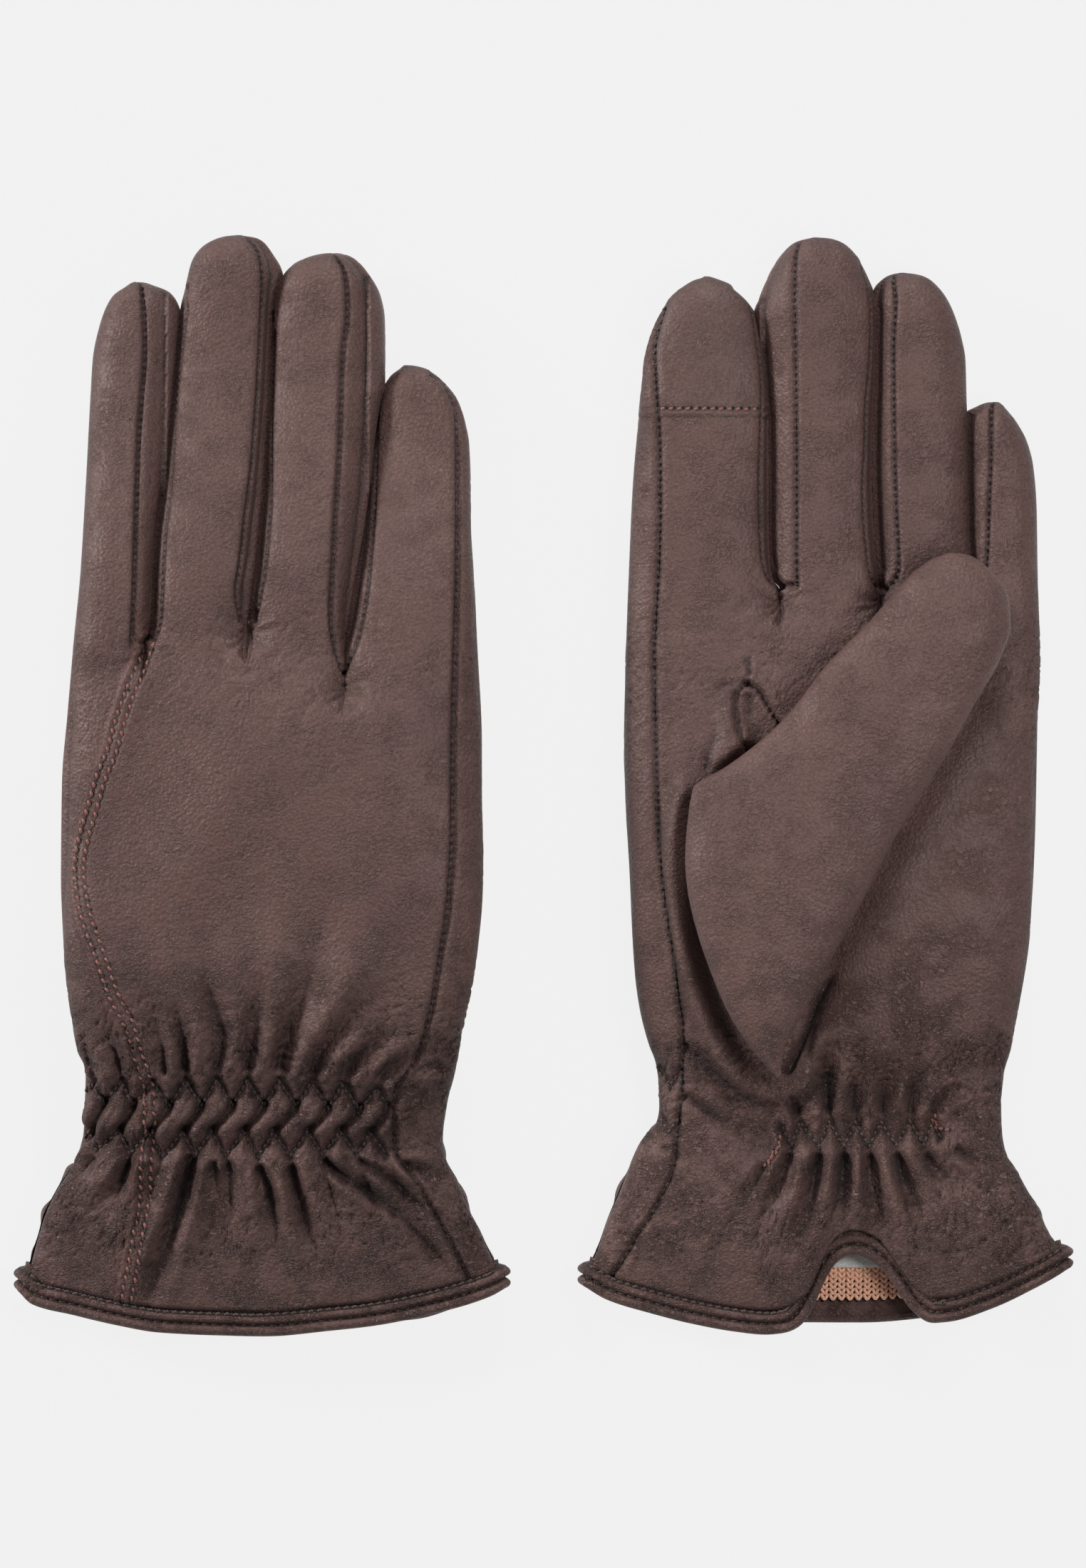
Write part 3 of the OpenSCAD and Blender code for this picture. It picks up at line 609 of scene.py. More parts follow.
TOPLINE_R = [(-91.3, 33), (-93, 28), (-95.5, 22), (-98, 15), (-100, 8), (-102.5, 2), (-104.5, -5),
             (-106.5, -12), (-107.5, -18), (-107, -24), (-105.5, -31), (-102.5, -39), (-99.5, -48),
             (-96, -55), (-94, -62), (-92.3, -68), (-91.5, -75), (-92, -82), (-92.7, -90), (-93, -97),
             (-94.5, -105), (-95.7, -112), (-97, -118), (-98, -123)]
ZIG_R = [[(-106.5, -71), (-105.3, -69), (-102.5, -74), (-98.2, -68.6), (-95.5, -74.5), (-91, -69),
          (-87, -74.5), (-83.3, -68.6), (-79.5, -74.5), (-76, -68.4), (-72.3, -74.6), (-69, -68.6),
          (-65, -74.6), (-61.5, -68.6), (-57.5, -74.6), (-54, -69), (-50, -75), (-46.8, -69.5),
          (-42.8, -75.5), (-38.8, -70.5), (-36, -75)],
         [(-107, -82), (-106, -80.5), (-104.5, -85), (-99, -80.5), (-96.5, -86), (-92, -80.8), (-89, -86.6),
          (-84, -80.6), (-81.3, -86.4), (-77.5, -80.5), (-74, -86.4), (-70, -80.5), (-66.5, -86.6),
          (-63, -80.7), (-59, -86.4), (-55, -80.6), (-51.5, -86.2), (-47.5, -80.5), (-43.5, -86.2),
          (-40.5, -81), (-36.5, -86)]]
# folds: (points, depth, half width at the start, half width at the end)
FOLDS_R = [
    ([(-82, -86), (-84.5, -96), (-89, -110), (-93, -121)], 2.5, 1.3, 2.3),
    ([(-77, -87), (-76.5, -96), (-79, -108)], 1.5, 1.0, 2.6),
    ([(-73.5, -87), (-73, -100), (-71.5, -113)], 1.5, 1.0, 2.6),
    ([(-66.5, -88), (-63.5, -98), (-62, -113)], 1.8, 1.0, 2.6),
    ([(-59, -88), (-56.5, -100), (-52, -112)], 1.7, 1.0, 2.8),
    ([(-51.5, -87), (-44, -93), (-35, -99), (-27, -107), (-20, -116)], 1.9, 1.0, 2.0),
    ([(-43.5, -87), (-37, -91), (-31, -96), (-24, -104)], 1.6, 0.9, 1.8),
    ([(-47, -86), (-40, -93), (-33, -97)], 1.0, 0.9, 1.8),
    ([(-96.5, -87), (-100, -94), (-106, -100)], 1.4, 1.0, 2.4),
    ([(-104.5, -86), (-109, -91), (-112, -94)], 1.0, 0.9, 1.8),
    ([(-33, -88), (-29, -89.5), (-24, -92)], 1.2, 0.9, 1.6),
    ([(-69, -100), (-67, -112), (-68, -121)], 0.7, 1.6, 2.6),
    ([(-83.3, -67.5), (-84, -60), (-86, -48)], 1.7, 1.1, 2.8),
    ([(-76, -67.5), (-75, -58), (-78, -44), (-80, -32)], 1.2, 1.0, 4.0),
    ([(-69, -67.5), (-67, -58), (-64, -44)], 1.2, 1.0, 3.0),
    ([(-61.5, -67.5), (-59, -58), (-54, -44), (-50, -30), (-48, -18)], 1.7, 1.3, 6.5),
    ([(-54, -68), (-50, -60), (-43, -52), (-36, -47)], 1.5, 1.0, 3.4),
    ([(-46.8, -68.5), (-42, -62), (-36, -56)], 1.2, 1.0, 2.6),
    ([(-38.8, -69), (-33, -64), (-25, -62)], 1.3, 1.0, 2.2),
    ([(-98.2, -67.5), (-101, -60), (-104, -54)], 1.0, 1.0, 2.4),
    ([(-88, -68), (-89, -58), (-92, -46)], 1.2, 1.0, 2.6),
    ([(-31, -67), (-26, -65.5), (-21, -66)], 0.8, 0.9, 1.4),
    ([(-78, 33), (-74, 28.5), (-69, 26.3), (-64, 28.3), (-61, 33)], 0.3, 1.2, 1.2),
    ([(-52, 21), (-56, 16), (-57, 8)], 0.3, 1.2, 2.0),
    ([(-44, 20), (-41, 13), (-41, 6)], 0.3, 1.2, 2.0),
    ([(-66, 31), (-61, 27), (-57, 20)], 0.25, 1.2, 1.8),
]
SEAMS_L = {
    "index_l": [(37, 119.4), (33, 117.5), (30, 115), (28, 110), (26.6, 105), (26, 100), (26.8, 85),
                (27.1, 75), (27.2, 65), (27, 55), (26.6, 45), (25.8, 30), (26, 10), (26.6, -10),
                (27.5, -20), (28.8, -30), (30.4, -40), (31.5, -50), (32.4, -57), (32.3, -70), (31.5, -80),
                (30.3, -90), (28, -95), (25.5, -100), (22, -105), (19.3, -110), (16, -115), (14.6, -119)],
    "index_r": [(55, 46.8), (53.3, 48), (51.9, 52), (51.2, 60), (51, 70), (51.3, 80), (51.4, 90), (51, 98),
                (50, 105), (48.6, 112), (45, 116.5)],
    "middle_l": [(56, 46.5), (58.7, 47), (59, 50), (59, 80), (58.9, 100), (58.7, 120), (59.7, 127),
                 (62, 129)],
    "middle_r": [(78.6, 46.5), (77, 50), (75.7, 60), (75.3, 70), (75.8, 80), (76, 90), (77, 100),
                 (77.2, 110), (76.7, 115), (74.7, 122)],
    "ring_l": [(80, 46), (82.8, 50), (82.3, 65), (82, 75), (81.7, 95), (81.7, 105), (82.3, 113), (82, 119),
               (82.6, 120.6)],
    "little_l": [(101.6, 41), (102.8, 47), (103.6, 55), (104, 65), (104.5, 75), (104.7, 83), (105, 88),
                 (105.4, 90.3)],
}
ZIG_L = [[(56, -80), (58, -84), (60, -78.5), (64.5, -84.2), (66.8, -78.5), (70.5, -84.2), (73, -78.6),
          (76.3, -84.2), (79, -78.6), (82.5, -84), (85.8, -78.4), (89, -84), (91, -78.4), (93, -82)]]
EDGE_ZIG_L = [[(27, -66), (29.5, -70.5), (32, -67)], [(27, -77), (29.5, -81), (31.5, -78)]]
FOLDS_L = [
    ([(58, -85), (55, -93), (50, -104)], 1.4, 1.0, 2.8),
    ([(64.5, -85), (63, -95), (60, -108)], 1.8, 1.0, 3.0),
    ([(70.5, -85), (70, -94), (68, -104)], 2.0, 1.1, 2.6),
    ([(76.3, -85), (77, -95), (80, -106)], 2.0, 1.1, 2.8),
    ([(82.5, -85), (85, -93), (90, -103)], 1.7, 1.0, 2.8),
    ([(89, -85), (93, -90), (99, -95)], 1.2, 1.0, 2.2),
    ([(52, -88), (48, -96), (42, -104)], 1.0, 1.0, 2.6),
    ([(60, -77.5), (57, -72), (54, -69)], 1.2, 0.9, 1.6),
    ([(66.8, -77.5), (66, -70), (67, -60)], 1.6, 1.0, 2.6),
    ([(73, -77.5), (73, -70), (75, -62)], 1.3, 1.0, 2.6),
    ([(79, -77.5), (80, -70), (83, -60)], 1.5, 1.0, 2.8),
    ([(85.8, -77.5), (87, -71), (90, -64)], 1.2, 1.0, 2.4),
    ([(91, -77.5), (94, -73), (98, -70)], 0.9, 0.9, 2.0),
    ([(32, -72), (38, -76), (46, -80), (53, -81)], 1.1, 1.2, 1.6),
    ([(32, -60), (38, -66), (46, -73), (56, -79)], 1.2, 1.6, 1.3),
    ([(96, -84), (102, -88), (108, -90)], 1.0, 1.2, 1.6),
    ([(27, -84), (31, -86), (34, -90)], 0.8, 1.0, 1.4),
    ([(47.6, 24.5), (48.2, 27), (47.6, 31)], 0.6, 0.5, 0.8),
    ([(46.6, 24), (43, 23.6), (39, 21)], 0.5, 0.6, 1.0),
    ([(50.5, 9.5), (45, 5.5), (39.5, 2.2)], 1.3, 1.8, 1.0),
    ([(38, 3), (38.6, 8), (40.8, 13)], 0.6, 0.7, 1.2),
]


GUSSET = [(47.5, 24), (45.3, 22), (45, 17), (46, 12), (48, 7), (54, 7), (57, 12), (53, 17.5), (50, 22.5)]


def inside(x, y, poly):
    hit = np.zeros(len(x), bool)
    for (ax, ay), (bx, by) in zip(poly, poly[1:] + poly[:1]):
        cross = (ay > y) != (by > y)
        hit ^= cross & (x < ax + (bx - ax) * (y - ay) / (by - ay if by != ay else 1))
    return hit


def groove(dist, along, depth, width, pitch=0.0, shoulder=0.18, reach=1.7):
    d = -depth * bell(dist, 0, width) + shoulder * depth * bell(dist, reach, 0.8 * reach)
    if pitch:
        d = d * (1 + 0.35 * np.cos(2 * math.pi * along / pitch) * (dist < 1.2))
    return d


def folds(x, y, items):
    d = np.zeros(len(x))
    for pts, depth, w0, w1 in items:
        dist, s, _, n = line_field(x, y, smooth_line(pts), 3.5 * max(w0, w1))
        t = s / n
        w = mix(w0, w1, t)
        fade = smooth(1.05 - t) ** 0.45 * smooth(s / 1.5)
        r = dist / w
        d += 1.45 * depth * fade * (-np.exp(-r ** 1.5) + 0.42 * bell(r, 2.1, 1.0))
    return d


def zigzag(x, y, lines, top, bottom):
    d = np.zeros(len(x))
    best = np.full(len(x), 1e3)
    for pts in lines:
        dist, _, _, _ = line_field(x, y, smooth_line_corners(pts), 9)
        best = np.minimum(best, dist)
    zone = smooth((y - bottom + 4) / 4) * smooth((top + 4 - y) / 4)
    puff = 2.3 * (1 - bell(best, 0, 1.7)) ** 0.8 - 1.7
    d += np.where(best < NEAR, puff * zone, 0)
    return d


def leaves(x, y, top, bottom):
    """Creases from each low point of one row of zigzags to the high point on its left in the row below."""
    lows = [p for p in top if p[1] < -73]
    highs = [p for p in bottom if p[1] > -82.5]
    d = np.zeros(len(x))
    for p in lows:
        q = min(highs, key=lambda h: abs(h[0] - p[0] + 4.3))
        halfway = (mix(p[0], q[0], 0.5) + 0.3, mix(p[1], q[1], 0.5))
        dist, _, _, _ = line_field(x, y, smooth_line([p, halfway, q]), 5)
        d += np.where(dist < NEAR, -1.5 * bell(dist, 0, 0.8) + 0.55 * bell(dist, 2, 1.0), 0)
    return d


def flutes(x, y, xs, start, way, middle, spread, amount):
    """Soft pleats that fan out from a row of stitch points at xs: way is -1 downwards and 1 upwards."""
    away = (y - start) * way
    k = 1 + spread * np.maximum(away, 0)
    home = middle + (x - middle) / k
    xs = np.array(sorted(xs))
    i = np.clip(np.searchsorted(xs, home) - 1, 0, len(xs) - 2)
    t = (home - xs[i]) / (xs[i + 1] - xs[i])
    strength = 0.65 + 0.6 * TABLE[6][i, i + 9]
    wave = (np.abs(np.sin(math.pi * np.clip(t, 0, 1))) ** 0.8 - 0.62) * strength
    inside_row = smooth((home - xs[0] + 2) / 3) * smooth((xs[-1] + 2 - home) / 3)
    reach = 20 + 9 * noise(home / 6, 0 * home + 3, 4)
    return amount * wave * inside_row * smooth(away / 1.5 + 0.4) * smooth(1.15 - away / reach)


def smooth_line_corners(pts, step=1.0):
    p = np.array(pts, float)
    out = []
    for a, b in zip(p[:-1], p[1:]):
        n = max(1, int(np.linalg.norm(b - a) / step))
        out += [mix(a, b, i / n) for i in range(n)]
    return np.array(out + [p[-1]])


def star(x, y, cx, cy, size, depth, n=7, turn=0.0):
    """Short puckers that radiate from a point."""
    dx, dy = x - cx, y - cy
    r = np.hypot(dx, dy)
    a = np.arctan2(dy, dx) + turn + 0.3 * noise(dx / 4 + 9, dy / 4 + 5, 2)
    fade = bell(r, 0, size) * smooth(r / 1.5)
    return depth * fade * (np.cos(n * a) - 0.3)


# how steeply the strip beside each finger seam slopes away from it
DROP = {"rightindex_r": 0.12, "rightmiddle_l": 0.3, "rightmiddle_r": 0.6, "rightring_l": 0.4,
        "rightring_r": 0.22, "rightlittle_l": 0.4,
        "leftindex_r": 0.4, "leftmiddle_l": 0.1, "leftmiddle_r": 0.4, "leftring_l": 0.25,
        "leftlittle_l": 0.12}


def finger_seams(x, y, col, seams, glove_name, hand_top):
    """Sewn grooves along the fingers. The strip between two fingers lies lower than the face beside it."""
    d = np.zeros(len(x))
    for name, pts in seams.items():
        f = FINGERS.index(name.split("_")[0])
        dist, s, side, _ = line_field(x, y, smooth_line(pts), 5)
        on = (col == f) | (y < hand_top)
        d += np.where(on & (dist < NEAR), groove(dist, s, 1.2, 0.5, SEAM_PITCH), 0)
        if (glove_name, name) != ("left", "index_l"):
            out = np.where(name.endswith("r"), -side, side) * (1 if pts[-1][1] > pts[0][1] else -1)
            fall = 0.35 * smooth(dist / 1.0) + np.minimum(DROP.get(glove_name + name, 0.2) * dist, 2.7)
            d += np.where((col == f) & (out > 0) & (y > pts[0][1]), -fall, 0)
    return d


def fine_wrinkles(x, y, near):
    """A net of fine wrinkles where near is high, and a faint one elsewhere."""
    faint = 0.15 * wrinkles(x, y, 5, 3, 4) * smooth((115 - y) / 30) * smooth(0.45 + noise(x / 19, y / 23, 6))
    return 0.55 * near * wrinkles(x, y, 4.2, 2.8, 3) + faint


def displace_right(x, y, col):
    d = finger_seams(x, y, col, SEAMS_R, "right", 40)
    dist, s, side, _ = line_field(x, y, smooth_line(SIDE_R), 6)
    d += np.where(dist < NEAR, groove(dist, s, 1.25, 0.55, SIDE_PITCH), 0)
    dist, s, side, _ = line_field(x, y, smooth_line(TOPLINE_R), 8)
    off = dist * side  # to the right of the line is positive, as it runs down
    d += np.where(dist < NEAR, 0.5 * smooth((off + 3.1) / 0.5) * smooth((6.5 - off) / 5), 0)
    for row in (-1.1, 1.1):
        d += np.where(dist < NEAR, -0.42 * bell(off, row, 0.45)
                      * (1 + 0.4 * np.cos(2 * math.pi * s / TOPSTITCH_PITCH)), 0)
    d += folds(x, y, FOLDS_R)
    within = smooth((-34.5 - x) / 1.2) * smooth((x + 108.5) / 2)
    d += (zigzag(x, y, ZIG_R, -69, -86) + leaves(x, y, ZIG_R[0], ZIG_R[1])) * within
    d += flutes(x, y, [q[0] for q in ZIG_R[0] if q[1] > -72], -68.5, 1, -70, 0.006, 0.9)
    d += flutes(x, y, [q[0] for q in ZIG_R[1] if q[1] < -84], -86.5, -1, -70, 0.014, 1.6)
    d += star(x, y, -92.5, 32, 7, 0.15) + star(x, y, -68.5, 35.5, 8, 0.3, 8, 0.3)
    d += star(x, y, -46.3, 22, 9, 0.2, 7)
    # soft broad hollows over the back of the hand, then fine wrinkles that gather towards wrist and crotches
    d += 1.7 * fbm(x / 34, y / 46, 1, 2) * smooth((y + 70) / 30) * smooth((60 - y) / 40)
    near = bell(y, -62, 16) + 0.9 * bell(y, -100, 16) + 0.45 * bell(y, 25, 20)
    return d + fine_wrinkles(x, y, near)


def displace_left(x, y, col):
    d = finger_seams(x, y, col, SEAMS_L, "left", 50)
    # the lower edge of the touch tip and the groove of its stitches
    d += np.where(col == 0, 0.4 * smooth((y - 86.4) / 0.5) - 0.4 * bell(y, 88.1, 0.5), 0)
    d += folds(x, y, FOLDS_L)
    within = smooth((x - 53) / 2) * smooth((95 - x) / 2)
    d += zigzag(x, y, ZIG_L, -78.5, -84) * within
    d += flutes(x, y, [q[0] for q in ZIG_L[0] if q[1] > -80], -78, 1, 74, 0.008, 1.5)
    d += flutes(x, y, [q[0] for q in ZIG_L[0] if q[1] < -83], -84.5, -1, 74, 0.022, 1.9)
    d += zigzag(x, y, EDGE_ZIG_L, -66, -81) * smooth((32.5 - x) / 1.5) * 0.6
    d += star(x, y, 55.5, 43, 8, 0.4, 8, 0.2) + star(x, y, 79, 43, 8, 0.3, 7, 0.4)
    # the small gusset above the thumb: its two seams, and the puckers over it
    for pts in ([(47.5, 24), (45.3, 22), (45, 17), (46, 12), (48, 8)],
                [(47.5, 24), (50, 22.5), (53, 17.5), (55.5, 14)]):
        dist, s, _, n = line_field(x, y, smooth_line(pts), 5)
        d += np.where(dist < NEAR, groove(dist, s, 1.3, 0.5, 1.7, 0.35), 0)
    d += star(x, y, 47.5, 26.5, 6, 0.16, 5, 0.5)
    d += 1.2 * bell(x, 43, 2.3) * bell(y, 13, 7) + 0.7 * bell(x, 53.5, 3) * bell(y, 23, 4)
    dist, s, _, n = line_field(x, y, np.array(GUSSET + GUSSET[:1], float), 6)
    d += np.where(inside(x, y, GUSSET), -(0.6 + 0.12 * np.maximum(x - 45, 0)) * smooth(dist / 2.5), 0)
    # a ridge of palm leather hugs the thumb's base
    hug = smooth_line([(35, 2.5), (31.8, -4), (30.6, -14), (31, -26), (33.2, -40), (37.5, -54),
                       (43.5, -64.5), (50, -70.3), (57, -71.8), (61.8, -67.5), (64.5, -59), (67.5, -50)])
    dist, s, _, n = line_field(x, y, hug, 12)
    d += np.where(dist < NEAR, 2.5 * bell(dist, 0, 2.3) * smooth(s / 5) * smooth((n - s) / 14), 0)
    d += np.where(dist < NEAR, -0.5 * bell(dist, 4.6, 1.6) * smooth(s / 5) * smooth((n - s) / 14), 0)
    dist, s, _, n = line_field(x, y, smooth_line([(57.6, -67), (61, -60), (64, -51.5), (69, -42)]), 5)
    d += np.where(dist < NEAR, -2.2 * bell(dist, 0, 1.2) * smooth((n - s) / 6), 0)
    # the hollow that the thumb lies over
    hollow = smooth_line([(62, -50), (68, -37.5), (78, -18.5), (89, 0.2), (99.5, 18), (104, 27)])
    dist, s, _, n = line_field(x, y, hollow, 14)
    d += np.where(dist < NEAR, -1.9 * bell(dist, 0, 4.2), 0)
    d += 0.9 * fbm(x / 30, y / 40, 1, 2) * smooth((y + 70) / 30) * smooth((60 - y) / 40)
    near = bell(y, -68, 14) + 0.9 * bell(y, -100, 16) + 0.6 * bell(y, 26, 18)
    return d + fine_wrinkles(x, y, near)


def seam_shade_and_red_edge(x, y, col, back_up):
    """How much painted shade darkens each point beside a row of stitches, in its groove, and how much of the
    reddish cut edge shows.
    """
    dark, red = np.zeros(len(x)), np.zeros(len(x))

    def mark(pts, wide, amount, on=True, pitch=SEAM_PITCH, rows=(0,)):
        dist, s, side, _ = line_field(x, y, pts, 4)
        for row in rows:
            near = bell(dist * side if row else dist, row, wide)
            beat = amount * (0.8 + 0.2 * np.cos(2 * math.pi * s / pitch))
            np.maximum(dark, near * np.where((dist < NEAR) & on, beat, 0), out=dark)
        return dist, side

    for name, pts in (SEAMS_R if back_up else SEAMS_L).items():
        mark(smooth_line(pts), 0.55, 0.85, (col == FINGERS.index(name.split("_")[0])) | (y < 50))
    if back_up:
        mark(smooth_line(SIDE_R), 0.55, 0.8)
        dist, side = mark(smooth_line(TOPLINE_R), 0.55, 0.75, pitch=TOPSTITCH_PITCH, rows=(-1.1, 1.1))
        red = np.where(dist < NEAR, 0.6 * bell(dist * side, -3.0, 0.4), 0)
    for pts in ZIG_R if back_up else ZIG_L + EDGE_ZIG_L:
        mark(smooth_line_corners(pts), 0.6, 0.55, pitch=ZIGZAG_PITCH)
    return dark, red


# ---------------------------------------------------------------- one glove's leather
def make_leather(g, displace):
    v, f, col, low, row = build_surface(g)
    vcol = np.zeros(len(v), int)
    vcol[f.ravel()] = np.repeat(col, 4)
    n = normals(v, f)
    top = smooth((n[:, 2] + 0.05) / 0.35)
    d = displace(v[:, 0], v[:, 1], vcol) * top
    under = smooth((-n[:, 2] + 0.05) / 0.35)
    low_d = 0.5 * fbm(v[:, 0] / 26, v[:, 1] / 30, 6, 3) + 0.2 * creases(v[:, 0] / 6, v[:, 1] / 5, 7)
    band = smooth((v[:, 1] + 92) / 6) * smooth((-64 - v[:, 1]) / 6)
    low_d += band * (0.9 * np.cos(2 * math.pi * v[:, 0] / 7.3 + 0.12 * v[:, 1]) - 0.6)
    flute = smooth((-80 - v[:, 1]) / 8) * smooth((v[:, 1] + 122) / 20)
    low_d += flute * 0.8 * np.cos(2 * math.pi * v[:, 0] / (7.3 + 0.12 * (-80 - v[:, 1])))
    d = d + low_d * under * smooth((v[:, 2] - 1.5) / 4 if not g.back_up else 1)
    d = d * smooth((v[:, 1] - g.hems[0](v[:, 0]) - 1) / 6) if g.back_up else d
    hem = np.where(n[:, 2] < 0, g.hems[1](v[:, 0]), g.hems[0](v[:, 0]))
    d = d - 1.5 * smooth((6.2 - (v[:, 1] - hem)) / 1.2)
    # painted shade beside the stitch rows, and the reddish cut edge
    dark, g.redden = (top * a for a in seam_shade_and_red_edge(v[:, 0], v[:, 1], vcol, g.back_up))
    # painted shade in hollows: how far each point lies below its blurred surroundings, near and wide; raised
    # ridges come out negative
    near, wide = blurred(d, f, 6), blurred(d, f, 70)
    shading_paint = 0.55 * np.clip((near - d) / 0.3, -1, 1) + 0.25 * np.clip((wide - d) / 1.2, -1, 1)
    g.crease = np.maximum(shading_paint, dark)
    v2 = v + n * d[:, None]
    # painted shade on steep sides: darker where the surface turns away from facing up
    g.crease = g.crease + 0.42 * smooth((0.95 - normals(v2, f)[:, 2]) / 0.6) * top
    v2[:, 2] = np.maximum(v2[:, 2], 0.02 + 0.02 * (v2[:, 2] < 0))
    return v2, f, col, low, row


def seam_x(pts):
    return pchip([(y, x) for x, y in sorted({round(y, 1): (x, y) for x, y in pts}.values(),
                                            key=lambda p: p[1])])


def panels(g, v, f, col, low, row):
    """Split the leather into the pieces it is sewn from: a part's name for each face."""
    c = v[f].mean(1)
    x, y = c[:, 0], c[:, 1]
    part = np.full(len(f), "", dtype=object)
    seams = SEAMS_R if g.back_up else SEAMS_L
    g.split = [max(g.crotch_y(i)) + 2.5 for i in range(4)]
    up, dn = ("back", "palm") if g.back_up else ("palm", "back")
    for k in range(4):
        m = (col == k) & (row >= g.split[k])
        name = FINGERS[k]
        left = seam_x(seams[f"{name}_l"])(y) if f"{name}_l" in seams else g.ledge[k](y) + 1.5
        right = seam_x(seams[f"{name}_r"])(y) if f"{name}_r" in seams else g.redge[k](y) - 1.5
        if g.back_up and k == 0:
            left = np.full(len(y), -1e3)
        if g.back_up and k == 3:
            right = seam_x([p for p in SIDE_R if p[1] > 20])(y)
        if not g.back_up and k == 3:
            right = np.full(len(y), 1e3)
        lo_l, lo_r = g.ledge[k](y) + 2.2, g.redge[k](y) - 2.2
        side = (low == 0) & ((x < left) | (x > right)) | (low == 1) & ((x < lo_l) | (x > lo_r))
        part[m & (low == 0) & ~side] = f"{name}_{up}"
        part[m & (low == 1) & ~side] = f"{name}_{dn}"
        part[m & side] = f"{name}_fourchettes"
        if g.back_up and k == 0:
            part[m & (low == 1) & (x < lo_l)] = "index_back"
        if g.back_up and k == 3:
            part[m & (low == 0) & (x > right)] = "little_palm"
            part[m & (low == 1) & (x > lo_r)] = "little_palm"
        if not g.back_up and k == 0:
            part[m & (x < np.where(low == 0, left, lo_l))] = "index_back"
        if not g.back_up and k == 3:
            part[m & (low == 1) & (x > lo_r)] = "little_palm"
    hand = part == ""
    if g.back_up:
        line, side = seam_x(TOPLINE_R), seam_x(SIDE_R)
        part[hand & (low == 0) & (x < line(y))] = "side_panel"
        part[hand & (low == 0) & (x >= line(y))] = "back_panel"
        part[hand & (low == 0) & (x > side(y))] = "palm_panel"
        part[hand & (low == 1)] = "palm_panel"
        part[hand & (low == 1) & (x < g.outer[0](np.maximum(y, g.hem)) + 7)] = "side_panel"
        part[(part == "index_palm") & (y > 84.9)] = "index_touch_tip"
        part[(part == "palm_panel") & (low == 1) & inside(x + PAIR_SHIFT, y, GUSSET)] = "thumb_gusset"
    else:
        side, line = seam_x(SEAMS_L["index_l"]), seam_x([(px + PAIR_SHIFT, py + 2) for px, py in TOPLINE_R])
        part[hand & (low == 0) & (x >= side(y))] = "palm_panel"
        part[hand & (low == 0) & (x < side(y))] = "side_panel"
        part[hand & (low == 1) & (x < line(y))] = "side_panel"
        part[hand & (low == 1) & (x >= line(y))] = "back_panel"
        part[hand & (low == 1) & (x > g.outer[1](np.maximum(y, g.hem)) - 6)] = "palm_panel"
        part[(part == "index_palm") & (y > 86.4)] = "index_touch_tip"
        part[(part == "palm_panel") & (low == 0) & inside(x, y, GUSSET)] = "thumb_gusset"
    crotch = np.zeros(len(f), bool)
    for cx, cy in g.crotch:
        crotch |= (part != "") & (row < cy + 3) & (row > cy - 1.2) & (np.abs(x - cx) < 1.6)
    part[crotch & hand] = "base_fourchettes"
    return part


def place(ob, g, k=None):
    """Put a piece on its glove's hand, or, for a finger k, bake its transform and leave it where it is."""
    if k is None:
        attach(ob, f"{g.name}_hand")
    else:
        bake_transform(ob)
    return ob


def paint(ob, name, values):
    """Give a piece one number per point, which its material reads."""
    data = ob.data.attributes.new(name, "FLOAT", "POINT").data
    data.foreach_set("value", np.ascontiguousarray(values, np.float32))


def blurred(d, f, times):
    """d spread over the mesh's edges, many times."""
    a, b = f.ravel(), np.roll(f, -1, axis=1).ravel()
    count = np.bincount(a, minlength=len(d)) + np.bincount(b, minlength=len(d))
    for _ in range(times):
        d = (d + (np.bincount(a, d[b], len(d)) + np.bincount(b, d[a], len(d))) / np.maximum(count, 1)) / 2
    return d


def own_normals(ob, n):
    ob.data.normals_split_custom_set_from_vertices([tuple(a) for a in n.tolist()])


def finger_of(part):
    return next((i for i, q in enumerate(FINGERS) if part.startswith(q)), None)


def make_glove(spec, displace):
    g = Glove(spec)
    v, f, col, low, row = make_leather(g, displace)
    part = panels(g, v, f, col, low, row)
    nor = normals(v, f)
    for p in sorted(set(part)):
        used = np.zeros(len(v), bool)
        used[f[part == p].ravel()] = True
        pv, pf = pick(v, f, part == p)
        ob = link(f"{g.name}_{p}_leather", pv, pf, TOUCH if "touch" in p else LEATHER)
        own_normals(ob, nor[used])
        paint(ob, "crease", g.crease[used])
        paint(ob, "redden", g.redden[used])
        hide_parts(f"{g.name}_{p}")
        place(ob, g, finger_of(p))
    g.bvh = BVHTree.FromPolygons(v.tolist(), f.tolist())
    return g


# ---------------------------------------------------------------- linings, elastics
def lining_inset(y):
    """The lining's depth under the nominal surface: more where folds press the leather in."""
    d = 2.7 + 1.0 * smooth((y - 30) / 12) + 2.0 * smooth((-20 - y) / 25) - 1.2 * smooth((-104 - y) / 12)
    return d + 1.7 * smooth(1.6 - np.abs(y - 12) / 24) + 1.2 * smooth(1.6 - np.abs(y + 91) / 9)


